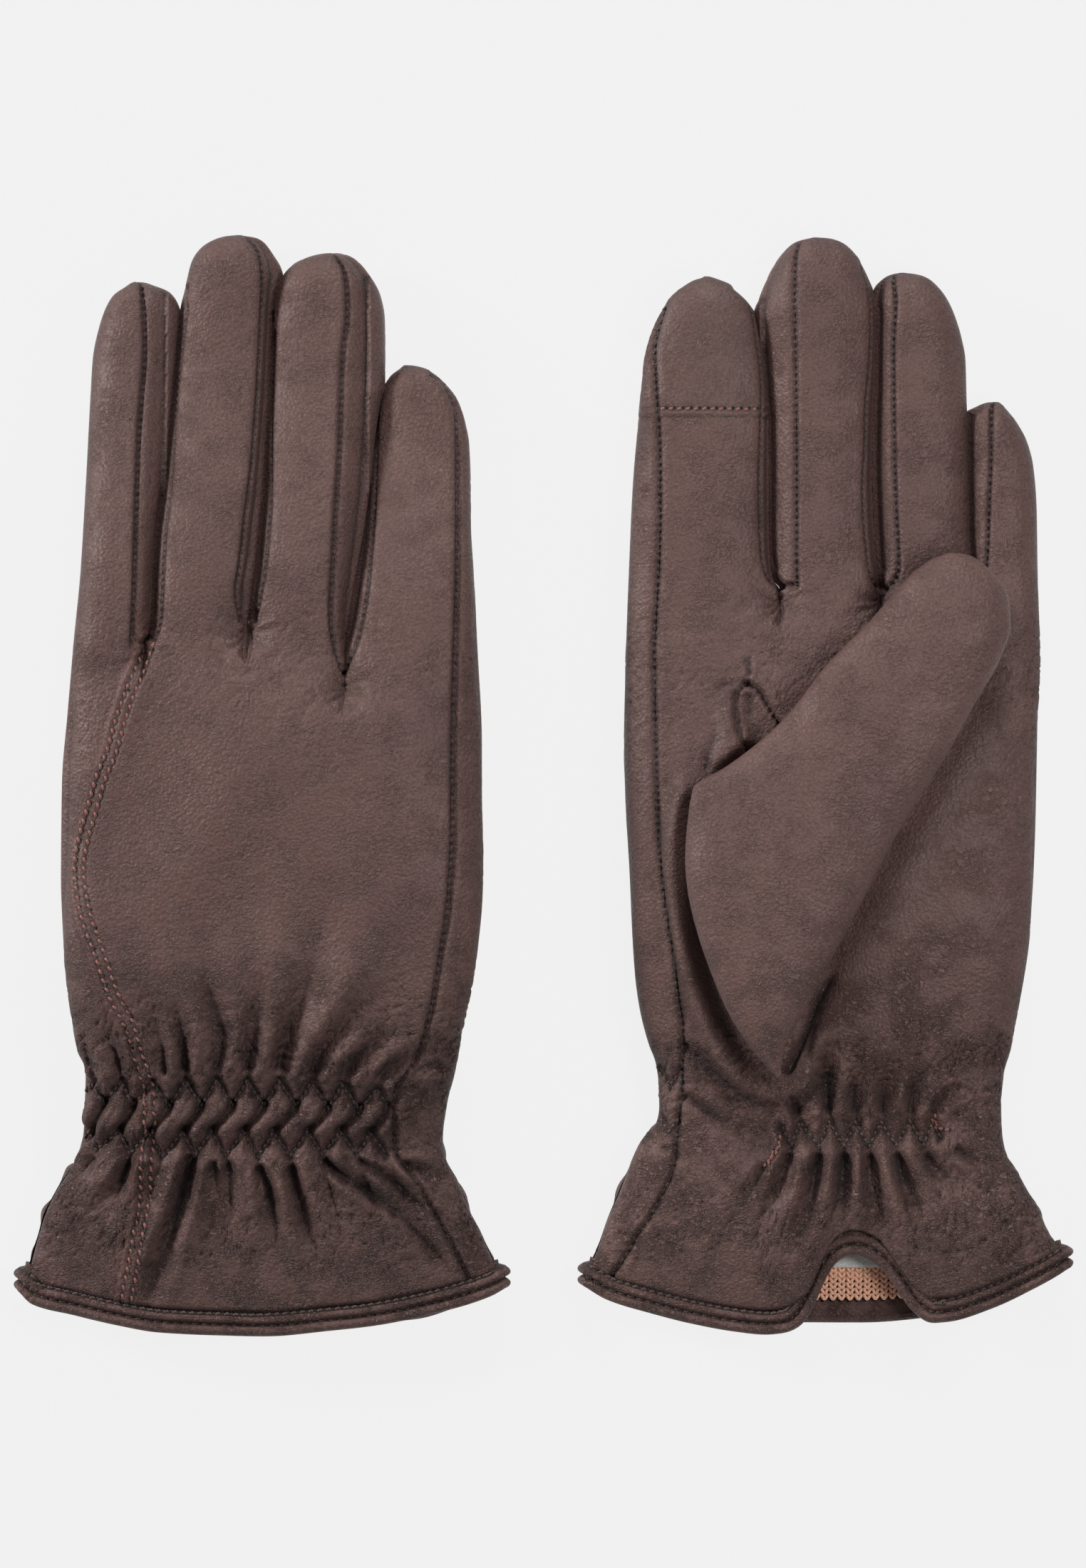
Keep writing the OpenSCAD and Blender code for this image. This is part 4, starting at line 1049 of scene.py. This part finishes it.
def make_linings(g):
    out = {}
    for f in range(4):
        y = g.rows(f, 2.2)
        y = y[(y > g.hem + 6) & (y < g.tips[f] - 2.5)]
        for s, count in ((0, 26), (1, 26)):
            c = -np.cos(np.linspace(0, math.pi, count + 1))
            x, yy, z = g.points(f, s == 1, y, c, lining_inset(y)[:, None])
            v = np.stack([x, yy, z], -1)
            for name, m in ((FINGERS[f], y >= g.split[f] - 1.1), ("hand", y <= g.split[f] + 1.1)):
                idx = np.arange(m.sum() * len(c)).reshape(-1, len(c))
                if len(idx) > 1:
                    out.setdefault(name, []).append((v[m].reshape(-1, 3), grid_faces(idx, s == 1)))
    for name, parts in out.items():
        v, faces, n = [], [], 0
        for a, b in parts:
            v.append(a)
            faces.append(b + n)
            n += len(a)
        ob = link(f"{g.name}_{name}_lining_knit", np.concatenate(v), np.concatenate(faces), KNIT)
        place(ob, g, None if name == "hand" else FINGERS.index(name))
        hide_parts(f"{g.name}_{name}_lining")


def spot(g, low, x, y, inset):
    """Points of the hand at x and nominal height y, at a depth. All four columns share one shape there."""
    a, b = g.outer[0](y), g.outer[1](y)
    big = np.clip(np.abs((2 * x - a - b) / (b - a - 2 * inset)), 0, 1)
    h = (g.hh(y) - inset) * dome(big)
    t = np.clip((WRIST - y) / (WRIST - g.hem), 0, 1)
    out = mix(WRIST, g.hems[1 if low else 0](x) + 1.2, t)
    return np.stack([x, np.where(y < WRIST, out, y), g.zm(y) + (-h if low else h)], -1)


def patch(g, low, y, x0, x1, inset, count=30):
    """A grid of such points, narrowed to stay inside the glove."""
    y = y[:, None] + np.zeros(count)
    lo = np.maximum(x0, g.outer[0](y) + inset + 1.5)
    hi = np.minimum(x1, g.outer[1](y) - inset - 1.5)
    return spot(g, low, mix(lo, hi, np.linspace(0, 1, count)[None, :]), y, inset)


def make_elastics(g):
    dx = 0 if g.back_up else PAIR_SHIFT
    for name, low, y0, y1, x0, x1 in (("wrist_elastic", not g.back_up, -88, -67, -105.5, -36),
                                      ("palm_elastic", g.back_up, -85.5, -77, -77, -38)):
        y = np.linspace(y0, y1, 14)
        v = patch(g, low, y, x0 + dx, x1 + dx, 3.6)
        ob = link(f"{g.name}_{name}_tape", v.reshape(-1, 3),
                  grid_faces(np.arange(v[:, :, 0].size).reshape(len(y), -1)), ELASTIC)
        thicken(ob, 0.45)
        place(ob, g)
        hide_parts(f"{g.name}_{name}")


# ---------------------------------------------------------------- stitches
def capsule(sides=6, rings=5):
    a = np.linspace(0, math.pi, rings + 2)[1:-1]
    v, f = [(-1, 0, 0)], []
    for t in a:
        for k in range(sides):
            u = 2 * math.pi * k / sides
            v.append((-math.cos(t), math.sin(t) ** 0.7 * math.cos(u), math.sin(t) ** 0.7 * math.sin(u)))
    v.append((1, 0, 0))
    for r in range(rings - 1):
        for k in range(sides):
            p, q = 1 + r * sides, 1 + (r + 1) * sides
            f.append((p + k, p + (k + 1) % sides, q + (k + 1) % sides, q + k))
    last = len(v) - 1
    for k in range(0, sides, 2):
        f.append((0, 1 + (k + 2) % sides, 1 + (k + 1) % sides, 1 + k))
        e = last - sides
        f.append((last, e + k, e + (k + 1) % sides, e + (k + 2) % sides))
    return np.array(v, float), np.array(f)


CAP = capsule()


def along(line, pitch, offset=0.0, start=0.0):
    """Points each pitch along a 2-D line, moved to its left by offset, with the directions there."""
    seg = np.diff(line, axis=0)
    length = np.concatenate([[0], np.cumsum(np.linalg.norm(seg, axis=1))])
    s = np.arange(start * pitch, length[-1], pitch)
    i = np.clip(np.searchsorted(length, s, side="right") - 1, 0, len(seg) - 1)
    d = seg[i] / np.linalg.norm(seg[i], axis=1, keepdims=True)
    p = line[i] + d * (s - length[i])[:, None]
    return p + offset * np.stack([-d[:, 1], d[:, 0]], 1), d


class Stitches:
    """Collects stitches on one glove, then makes one piece for the hand and one for each finger."""

    def __init__(self, g, name, mat):
        self.g, self.name, self.mat, self.items = g, name, mat, []

    def row(self, p, d, length, radius, slant=0.0, low=False, lift=0.0, sink=0.6, bvh=None, finger=None,
            hole_shade=True):
        bvh = bvh or self.g.bvh
        c, s = math.cos(slant), math.sin(slant)
        for (x, y), (dx, dy) in zip(p, d):
            z0, dz = (-60, 1) if low else (90, -1)
            hit, n, _, _ = bvh.ray_cast((x, y, z0), (0, 0, dz))
            if hit is None:
                continue
            n = np.array(n)
            if n[2] * dz > 0:
                n = -n
            if abs(n[2]) < 0.12:
                continue
            t = np.array([dx * c - dy * s, dx * s + dy * c, 0])
            t = t - n * t.dot(n)
            t /= np.linalg.norm(t)
            self.items.append((np.array(hit) + n * lift, t, np.cross(n, t), n, length / 2, radius, sink,
                               finger, hole_shade))

    def seam(self, line, pitch, share=0.72, radius=0.24, slant=0.0, offset=0.0, low=False, lift=0.0,
             finger=None, hole_shade=True, corners=False, bvh=None):
        pts = smooth_line_corners(line) if corners else smooth_line(line)
        p, d = along(pts, pitch, offset)
        self.row(p, d, pitch * share, radius, slant, low, lift, finger=finger, hole_shade=hole_shade, bvh=bvh)

    def make(self):
        groups = {}
        for it in self.items:
            k = it[7]
            if k is not None and it[0][1] < self.g.split[k]:
                k = None
            groups.setdefault(k, []).append(it)
        for k, items in groups.items():
            v, f, n = [], [], 0
            m = []
            cv, cf = CAP
            for p, t, b, nn, half, r, sink, _, hole_shade in items:
                z = cv[:, 2] * r - sink * r * 2 * cv[:, 0] ** 4
                v.append(p + cv[:, :1] * half * t + cv[:, 1:2] * r * b + z[:, None] * nn)
                f.append(cf + n)
                m.append(np.zeros(len(cf), int))
                n += len(cv)
                # painted shade: a flat near-black disc at each stitch end stands in for the shadow in its
                # needle hole
                if hole_shade:
                    e = p + t * half * 1.22 - nn * 0.12
                    v.append(e + cv[:, :1] * r * 1.15 * t + cv[:, 1:2] * r * 1.3 * b + cv[:, 2:] * 0.16 * nn)
                    f.append(cf + n)
                    m.append(np.ones(len(cf), int))
                    n += len(cv)
            where = "hand" if k is None else FINGERS[k]
            ob = link(f"{self.g.name}_{where}_{self.name}", np.concatenate(v), np.concatenate(f),
                      [self.mat, HOLE_SHADE])
            ob.data.polygons.foreach_set("material_index", np.concatenate(m))
            place(ob, self.g, k)


def sew(g):
    dark, red = Stitches(g, "seam_thread", THREAD), Stitches(g, "topstitch_thread", TOPSTITCH)
    if g.back_up:
        for name, pts in SEAMS_R.items():
            dark.seam(pts, SEAM_PITCH, 0.7, 0.22, lift=-0.14, finger=FINGERS.index(name.split("_")[0]),
                      hole_shade=False)
        up = [q for q in SIDE_R if q[1] > 22]
        dark.seam(up, SIDE_PITCH, 0.66, 0.26, lift=-0.08, finger=3)
        dark.seam([q for q in SIDE_R if q[1] < 22], SIDE_PITCH, 0.66, 0.26, lift=-0.08)
        for row in (-1.1, 1.1):
            red.seam(TOPLINE_R, TOPSTITCH_PITCH, 0.76, 0.38, slant=0.5, offset=row, lift=0.24)
        for pts in ZIG_R:
            dark.seam(pts, ZIGZAG_PITCH, 0.84, 0.37, lift=0.16, corners=True)
    else:
        for name, pts in SEAMS_L.items():
            k = FINGERS.index(name.split("_")[0])
            if name == "index_l":
                dark.seam([q for q in pts if q[1] > 44], SIDE_PITCH, 0.66, 0.26, lift=-0.08, finger=0)
                dark.seam([q for q in pts if q[1] < 46], SIDE_PITCH, 0.66, 0.26, lift=-0.08)
            else:
                dark.seam(pts, SEAM_PITCH, 0.7, 0.22, lift=-0.14, finger=k, hole_shade=False)
        red.seam([(28, 88.2), (51, 88.0)], 1.95, 0.68, 0.38, slant=0.3, lift=0.1, finger=0)
        for pts in ZIG_L + EDGE_ZIG_L:
            dark.seam(pts, ZIGZAG_PITCH, 0.84, 0.37, lift=0.16, corners=True)
        # the bartacks that end the row
        for pts in ([(51.8, -88.5), (54.6, -85.6)], [(52.8, -88.0), (54.2, -84.4)],
                    [(53.6, -86.2), (55.8, -83.2)], [(54.8, -84.6), (55.4, -81.8)],
                    [(91.2, -78.2), (93.6, -80.8)], [(90.6, -79.6), (94.6, -80.4)],
                    [(91.8, -77.2), (92.0, -80.8)]):
            red.seam(pts, 1.3, 0.95, 0.3, lift=0.18, slant=0.3)
    # the two hem rows run along the binding
    for low in (False, True):
        hem = smooth_line([(x, y) for x, y in (g.top_hem if not low else g.low_hem)], 1.0)
        hem = hem if not low else hem[::-1]
        sign = -1 if low else 1
        p, d = along(hem, 2.05, sign * 4.9)
        dark.row(p, d, 1.75, 0.38, slant=0.22, low=low, lift=0.3, bvh=g.hem_bvh)
        p, d = along(hem, 2.3, sign * 2.65)
        dark.row(p, d, 1.3, 0.32, slant=0.3, low=low, lift=0.25, bvh=g.hem_bvh)
    hem = smooth_line(g.low_hem if not g.back_up else g.top_hem, 1.0)
    p, d = along(hem, 2.1, 5.3)
    keep = (p[:, 0] > 57) & (p[:, 0] < 93) if not g.back_up else p[:, 0] > 1e3
    dark.row(p[keep], d[keep], 1.6, 0.3, lift=0.4, bvh=g.facing_bvh)
    dark.make()
    red.make()


# ---------------------------------------------------------------- hem binding, facing, knit, label
LABEL_FOOT = -113.2  # height of the label's lower edge
# section of the rolled binding: distance up the glove, height over its surface
BAND = [(5.6, -1.2), (5.35, -0.3), (5.1, 0.1), (4.6, 0.8), (4.0, 1.1), (3.4, 0.95), (2.9, 0.35),
        (2.6, -0.25), (2.3, 0.3), (1.7, 1.0), (1.0, 1.05), (0.3, 0.55), (0.0, -0.4), (0.3, -1.5),
        (1.4, -2.2), (3.0, -2.3), (5.6, -2.2)]


def hem_loop(g, count=420):
    """The edge of the cuff: points round the mouth, with directions along it, outwards and up the glove."""
    a = np.linspace(0, 2 * math.pi, count, endpoint=False)
    c = -np.cos(a)
    left, right = g.outer[0](g.hem), g.outer[1](g.hem)
    x = (left + right) / 2 + (right - left) / 2 * np.sign(c) * np.abs(c) ** 0.9
    top = a <= math.pi
    h = g.hh(g.hem) * dome(np.clip(np.abs(2 * x - left - right) / (right - left), 0, 1))
    y = np.where(top, g.hems[0](x), g.hems[1](x))
    p = np.stack([x, y, g.zm(g.hem) + np.where(top, h, -h)], 1)
    for _ in range(2):
        p = (np.roll(p, 1, 0) + 2 * p + np.roll(p, -1, 0)) / 4
    t = np.roll(p, -1, 0) - np.roll(p, 1, 0)
    t /= np.linalg.norm(t, axis=1, keepdims=True)
    n = np.stack([-t[:, 2], 0 * a, t[:, 0]], 1)
    n /= np.linalg.norm(n, axis=1, keepdims=True)
    s = np.cross(n, t)
    return p, t, n, s / np.linalg.norm(s, axis=1, keepdims=True)


def make_hem(g):
    p, _, n, s = hem_loop(g)
    prof = smooth_line(BAND + BAND[:1], 0.28)[:-1]
    arc = np.concatenate([[0], np.cumsum(np.linalg.norm(np.diff(p, axis=0), axis=1))])[:, None]
    ripple = 1 + 0.14 * fbm(arc / 3.1, 0 * arc, 2) + 0.1 * np.cos(2 * math.pi * arc / 2.05)
    out = np.where(prof[None, :, 1] > -0.4, prof[None, :, 1] * ripple, prof[None, :, 1])
    v = p[:, None] + s[:, None] * prof[None, :, :1] + n[:, None] * out[..., None]
    idx = np.arange(v[..., 0].size).reshape(len(p), len(prof))
    idx = np.vstack([idx, idx[:1]])
    idx = np.hstack([idx, idx[:, :1]])
    f = grid_faces(idx)
    v = v.reshape(-1, 3)
    v[:, 2] = np.maximum(v[:, 2], 0.0)
    ob = link(f"{g.name}_cuff_binding_roll", v, f, BIND)
    # painted shade in the binding's two stitch grooves
    deep = np.maximum(bell(prof[:, 0], 2.6, 0.35), bell(prof[:, 0], 5.35, 0.4)) * (prof[:, 1] > -1.3)
    paint(ob, "crease", np.tile(0.9 * deep, len(p)))
    place(ob, g)
    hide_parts(f"{g.name}_cuff_binding")
    g.hem_bvh = BVHTree.FromPolygons(v.tolist(), f.tolist())
    # the leather facing turned in behind it, and the rib knit that starts at its edge
    w = np.linspace(1.5, 6.6, 8)
    v = p[:, None] + s[:, None] * w[None, :, None] - n[:, None] * (2.1 + 0.12 * np.sin(w * 2))[None, :, None]
    idx = np.arange(v[..., 0].size).reshape(len(p), -1)
    ob = link(f"{g.name}_hem_facing", v.reshape(-1, 3), grid_faces(np.vstack([idx, idx[:1]])), BIND)
    thicken(ob, 0.6, offset=0)
    place(ob, g)
    g.facing_bvh = BVHTree.FromPolygons(v.reshape(-1, 3).tolist(),
                                        grid_faces(np.vstack([idx, idx[:1]])).tolist())
    cv, cf = capsule(5, 4)
    label_middle = -59 if g.back_up else 72
    vs, fs, k = [], [], 0
    for low in (False, True):
        inward = 1 if low else -1
        for j, x in enumerate(np.arange(g.outer[0](g.hem) + 9, g.outer[1](g.hem) - 9, 2.0)):
            hem = g.hems[1 if low else 0](x)
            for r in range(13):
                y = hem + 6.3 + 1.3 * r
                if y > LABEL_FOOT and abs(x - label_middle) < 13:
                    continue
                nom = WRIST - (WRIST - y) / (WRIST - hem - 1.2) * (WRIST - g.hem)
                a, b = g.outer[0](nom), g.outer[1](nom)
                if not a + 7 < x < b - 7:
                    continue
                c = spot(g, low, np.array(x), np.array(nom), float(lining_inset(nom)) + 0.3)
                c[2] += inward * 0.3 * (j % 2)
                for side in (-1, 1):
                    d = np.array([side * 0.5, 0.86, 0])
                    e = np.array([-0.86, side * 0.5, 0])
                    q = c + np.array([side * 0.45, 0, 0])
                    loop = cv[:, :1] * 1.02 * d + cv[:, 1:2] * 0.44 * e + cv[:, 2:] * np.array([0, 0, 0.44])
                    vs.append(q + loop)
                    fs.append(cf + k)
                    k += len(cv)
    ob = link(f"{g.name}_cuff_rib_knit", np.concatenate(vs), np.concatenate(fs), KNIT)
    place(ob, g)


def make_label(g):
    dx = 0 if g.back_up else PAIR_SHIFT
    low = not g.back_up
    x0, x1 = -70.5 + dx, -46 + dx
    hem = g.hems[1 if low else 0]((x0 + x1) / 2)
    y = WRIST - (WRIST - np.linspace(LABEL_FOOT, -102, 14)) / (WRIST - hem - 1.2) * (WRIST - g.hem)
    v = patch(g, low, y, x0, x1, 5.8, 26).reshape(-1, 3)
    ob = link(f"{g.name}_size_label_cloth", v, grid_faces(np.arange(len(v)).reshape(len(y), -1)), LABEL)
    thicken(ob, 0.4)
    place(ob, g)
    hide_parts(f"{g.name}_size_label")


# ---------------------------------------------------------------- thumbs
THUMB = [[(35.0, 0.0), (56.2, -69.3)], [(38.0, 2.2), (55.2, -66)], [(41, 3.8), (56, -61)],
         [(50, 10.5), (61, -51)], [(58, 18), (68, -37.5)], [(66, 28), (78, -18.5)],
         [(74, 36.5), (89, 0.2)], [(81, 44.5), (99.5, 18.2)], [(87, 50.4), (106, 28.8)],
         [(91, 53), (108.8, 37)], [(95, 54.2), (108.2, 43.5)], [(99, 53.6), (106, 47.8)],
         [(102, 51.8), (103.4, 50.6)]]
THUMB_BOW = [8.8, 7.5, 6, 3.2, 1.5, 0.5, 0, 0, 0, 0, 0, 0, 0]
THUMB_BASE_Z = 21.9
PAIR_HEIGHT = 34.9


def turn_over(v):
    """Move the left glove's thumb under the right glove, the other way up."""
    v[:, 0] -= PAIR_SHIFT
    v[:, 2] = PAIR_HEIGHT - v[:, 2]


def thumb_grid(inset=0.0, n_len=150, n_round=110):
    k = np.arange(len(THUMB), dtype=float)
    pts = np.array(THUMB, float)
    q = np.linspace(0, 1, n_len)
    q = (len(THUMB) - 1) * (q - 0.10 * np.sin(2 * math.pi * q) / math.pi)
    cur = [pchip(list(zip(k, pts[:, i, j])))(q) for i in range(2) for j in range(2)]
    up, dn = np.stack(cur[:2], 1), np.stack(cur[2:], 1)
    bow = pchip(list(zip(k, THUMB_BOW)))(q)
    mid = (up + dn) / 2
    s = np.concatenate([[0], np.cumsum(np.linalg.norm(np.diff(mid, axis=0), axis=1))])
    end = s[-1]
    rise = (1 - np.clip(1 - s / 9, 0, 1) ** 2.3) ** (1 / 2.3)
    fall = (1 - np.clip((s - (end - 20)) / 20, 0, 1) ** 2.6) ** (1 / 2.4)
    half = (6.35 - inset) * rise * fall
    a = np.linspace(0, 2 * math.pi, n_round, endpoint=False)
    c, sn = np.cos(a), np.sin(a)
    share = (1 - np.sign(c) * np.abs(c) ** 0.9 * (1 - 2 * inset / 60)) / 2
    across = dn - up
    width = np.linalg.norm(across, axis=1, keepdims=True)
    side = np.stack([across[:, 1], -across[:, 0]], 1) / width
    xy = up[:, None] + across[:, None] * share[None, :, None]
    xy = xy + side[:, None] * (bow[:, None] * (1 - np.abs(2 * share[None, :] - 1) ** 2.6))[..., None]
    z = THUMB_BASE_Z + 6.4 + half[:, None] * (np.sign(sn) * np.abs(sn) ** 0.85)[None, :]
    return np.dstack([xy, z])


def make_thumb(g):
    v = thumb_grid()
    rows, cols = v.shape[:2]
    idx = np.arange(rows * cols).reshape(rows, cols)
    idx = np.hstack([idx, idx[:, :1]])
    f = grid_faces(idx)
    v = v.reshape(-1, 3)
    n = normals(v, f)
    d = 0.5 * fbm(v[:, 0] / 24, v[:, 1] / 24, 2, 2) + 0.05 * creases(v[:, 0] / 6, v[:, 1] / 6, 3)
    along_base = (v[:, 0] - 35) * 0.96 + (v[:, 1] + 18) * 0.22
    d += 0.10 * creases(v[:, 0] / 4, v[:, 1] / 5, 5) * bell(along_base, 0, 14)
    v = v + n * d[:, None]
    v[:, 2] = np.clip(v[:, 2], THUMB_BASE_Z - 0.1, 34.85)
    if g.back_up:
        turn_over(v)
        v[:, 2] = np.maximum(v[:, 2], 0.0)
        f = f[:, ::-1]
    if np.einsum("ij,ij->i", normals(v, f), v - v.mean(0)).mean() < 0:
        f = f[:, ::-1]
    dx, z = (0, 0.0219) if not g.back_up else (-PAIR_SHIFT, 0.013)
    # two points near the thumb's sewn base, a and b, in metres
    a = ((44.6 + dx) * MM, -34.9 * MM, z)
    b = ((60.4 + dx) * MM, -30.1 * MM, z)
    ob = link(f"{g.name}_thumb_skin", v, f, LEATHER)
    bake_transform(ob)
    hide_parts(f"{g.name}_thumb_leather")
    v = thumb_grid(3.2, 40, 40)[5:-3]
    idx = np.arange(v[..., 0].size).reshape(v.shape[:2])
    f = grid_faces(np.hstack([idx, idx[:, :1]]))
    v = v.reshape(-1, 3)
    if g.back_up:
        turn_over(v)
    # keep only the knit that lies beyond 0.92 of the way from a towards b
    way = (np.array(b) - np.array(a))[:2]
    t = (v[:, :2] * MM - np.array(a)[:2]) @ way / (way @ way)
    v, f = pick(v, f, t[f].min(axis=1) > 0.92)
    ob = link(f"{g.name}_thumb_knit", v, f, KNIT)
    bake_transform(ob)
    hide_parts(f"{g.name}_thumb_lining")


ELASTIC = thread_mat("elastic_weave", srgb(60, 50, 47), 0.8)
# near-black, for the painted shade of the needle holes
HOLE_SHADE = thread_mat("needle_hole_shade", srgb(22, 13, 11), 0.9)
for spec, displace in ((RIGHT, displace_right), (LEFT, displace_left)):
    glove = make_glove(spec, displace)
    make_linings(glove)
    make_elastics(glove)
    make_hem(glove)
    make_label(glove)
    make_thumb(glove)
    sew(glove)


# ---------------------------------------------------------------- light and stage
def stage():
    me_v = [(-3000, -3000, -0.2), (3000, -3000, -0.2), (3000, 3000, -0.2), (-3000, 3000, -0.2)]
    m, t, b = node_mat("paper")
    put(b, {"Base Color": (0.03, 0.03, 0.03, 1), "Roughness": 0.9, "Specular IOR Level": 0.1,
            "Emission Color": (1, 1, 1, 1), "Emission Strength": 0.85})
    co = add(t, "ShaderNodeTexCoord")
    n = add(t, "ShaderNodeTexNoise", Scale=300, Detail=2)
    t.links.new(co.outputs["Object"], n.inputs["Vector"])
    bump = add(t, "ShaderNodeBump", Strength=0.05, Distance=0.0002)
    t.links.new(n.outputs["Fac"], bump.inputs["Height"])
    t.links.new(bump.outputs["Normal"], b.inputs["Normal"])
    floor = link("floor", me_v, [(0, 1, 2, 3)], m, False)
    w = bpy.data.worlds.new("studio")
    bpy.context.scene.world = w
    w.use_nodes = True
    put(w.node_tree.nodes["Background"], {"Color": (1, 1, 1, 1), "Strength": 0.16})

    def area(name, loc, size, power):
        l = bpy.data.lights.new(name, "AREA")
        l.shape, l.size, l.energy = "DISK", size, power
        o = bpy.data.objects.new(name, l)
        o.location = loc
        bpy.context.collection.objects.link(o)
        d = -np.array(loc)
        o.rotation_euler = Vector(d).to_track_quat("-Z", "Y").to_euler()
    area("left", (-1.4, 0.55, 0.6), 0.32, 20)
    area("top", (0.1, 1.5, 0.8), 0.36, 11.5)
    area("right", (0.9, 0.1, 1.1), 0.5, 1.0)
    area("near", (0.22, 0.0, 0.42), 0.15, 0.75)
    area("front", (0, -1.5, 0.8), 0.8, 1.2)
    s = bpy.context.scene
    s.view_settings.view_transform = "Standard"
    s.view_settings.look = "None"


stage()
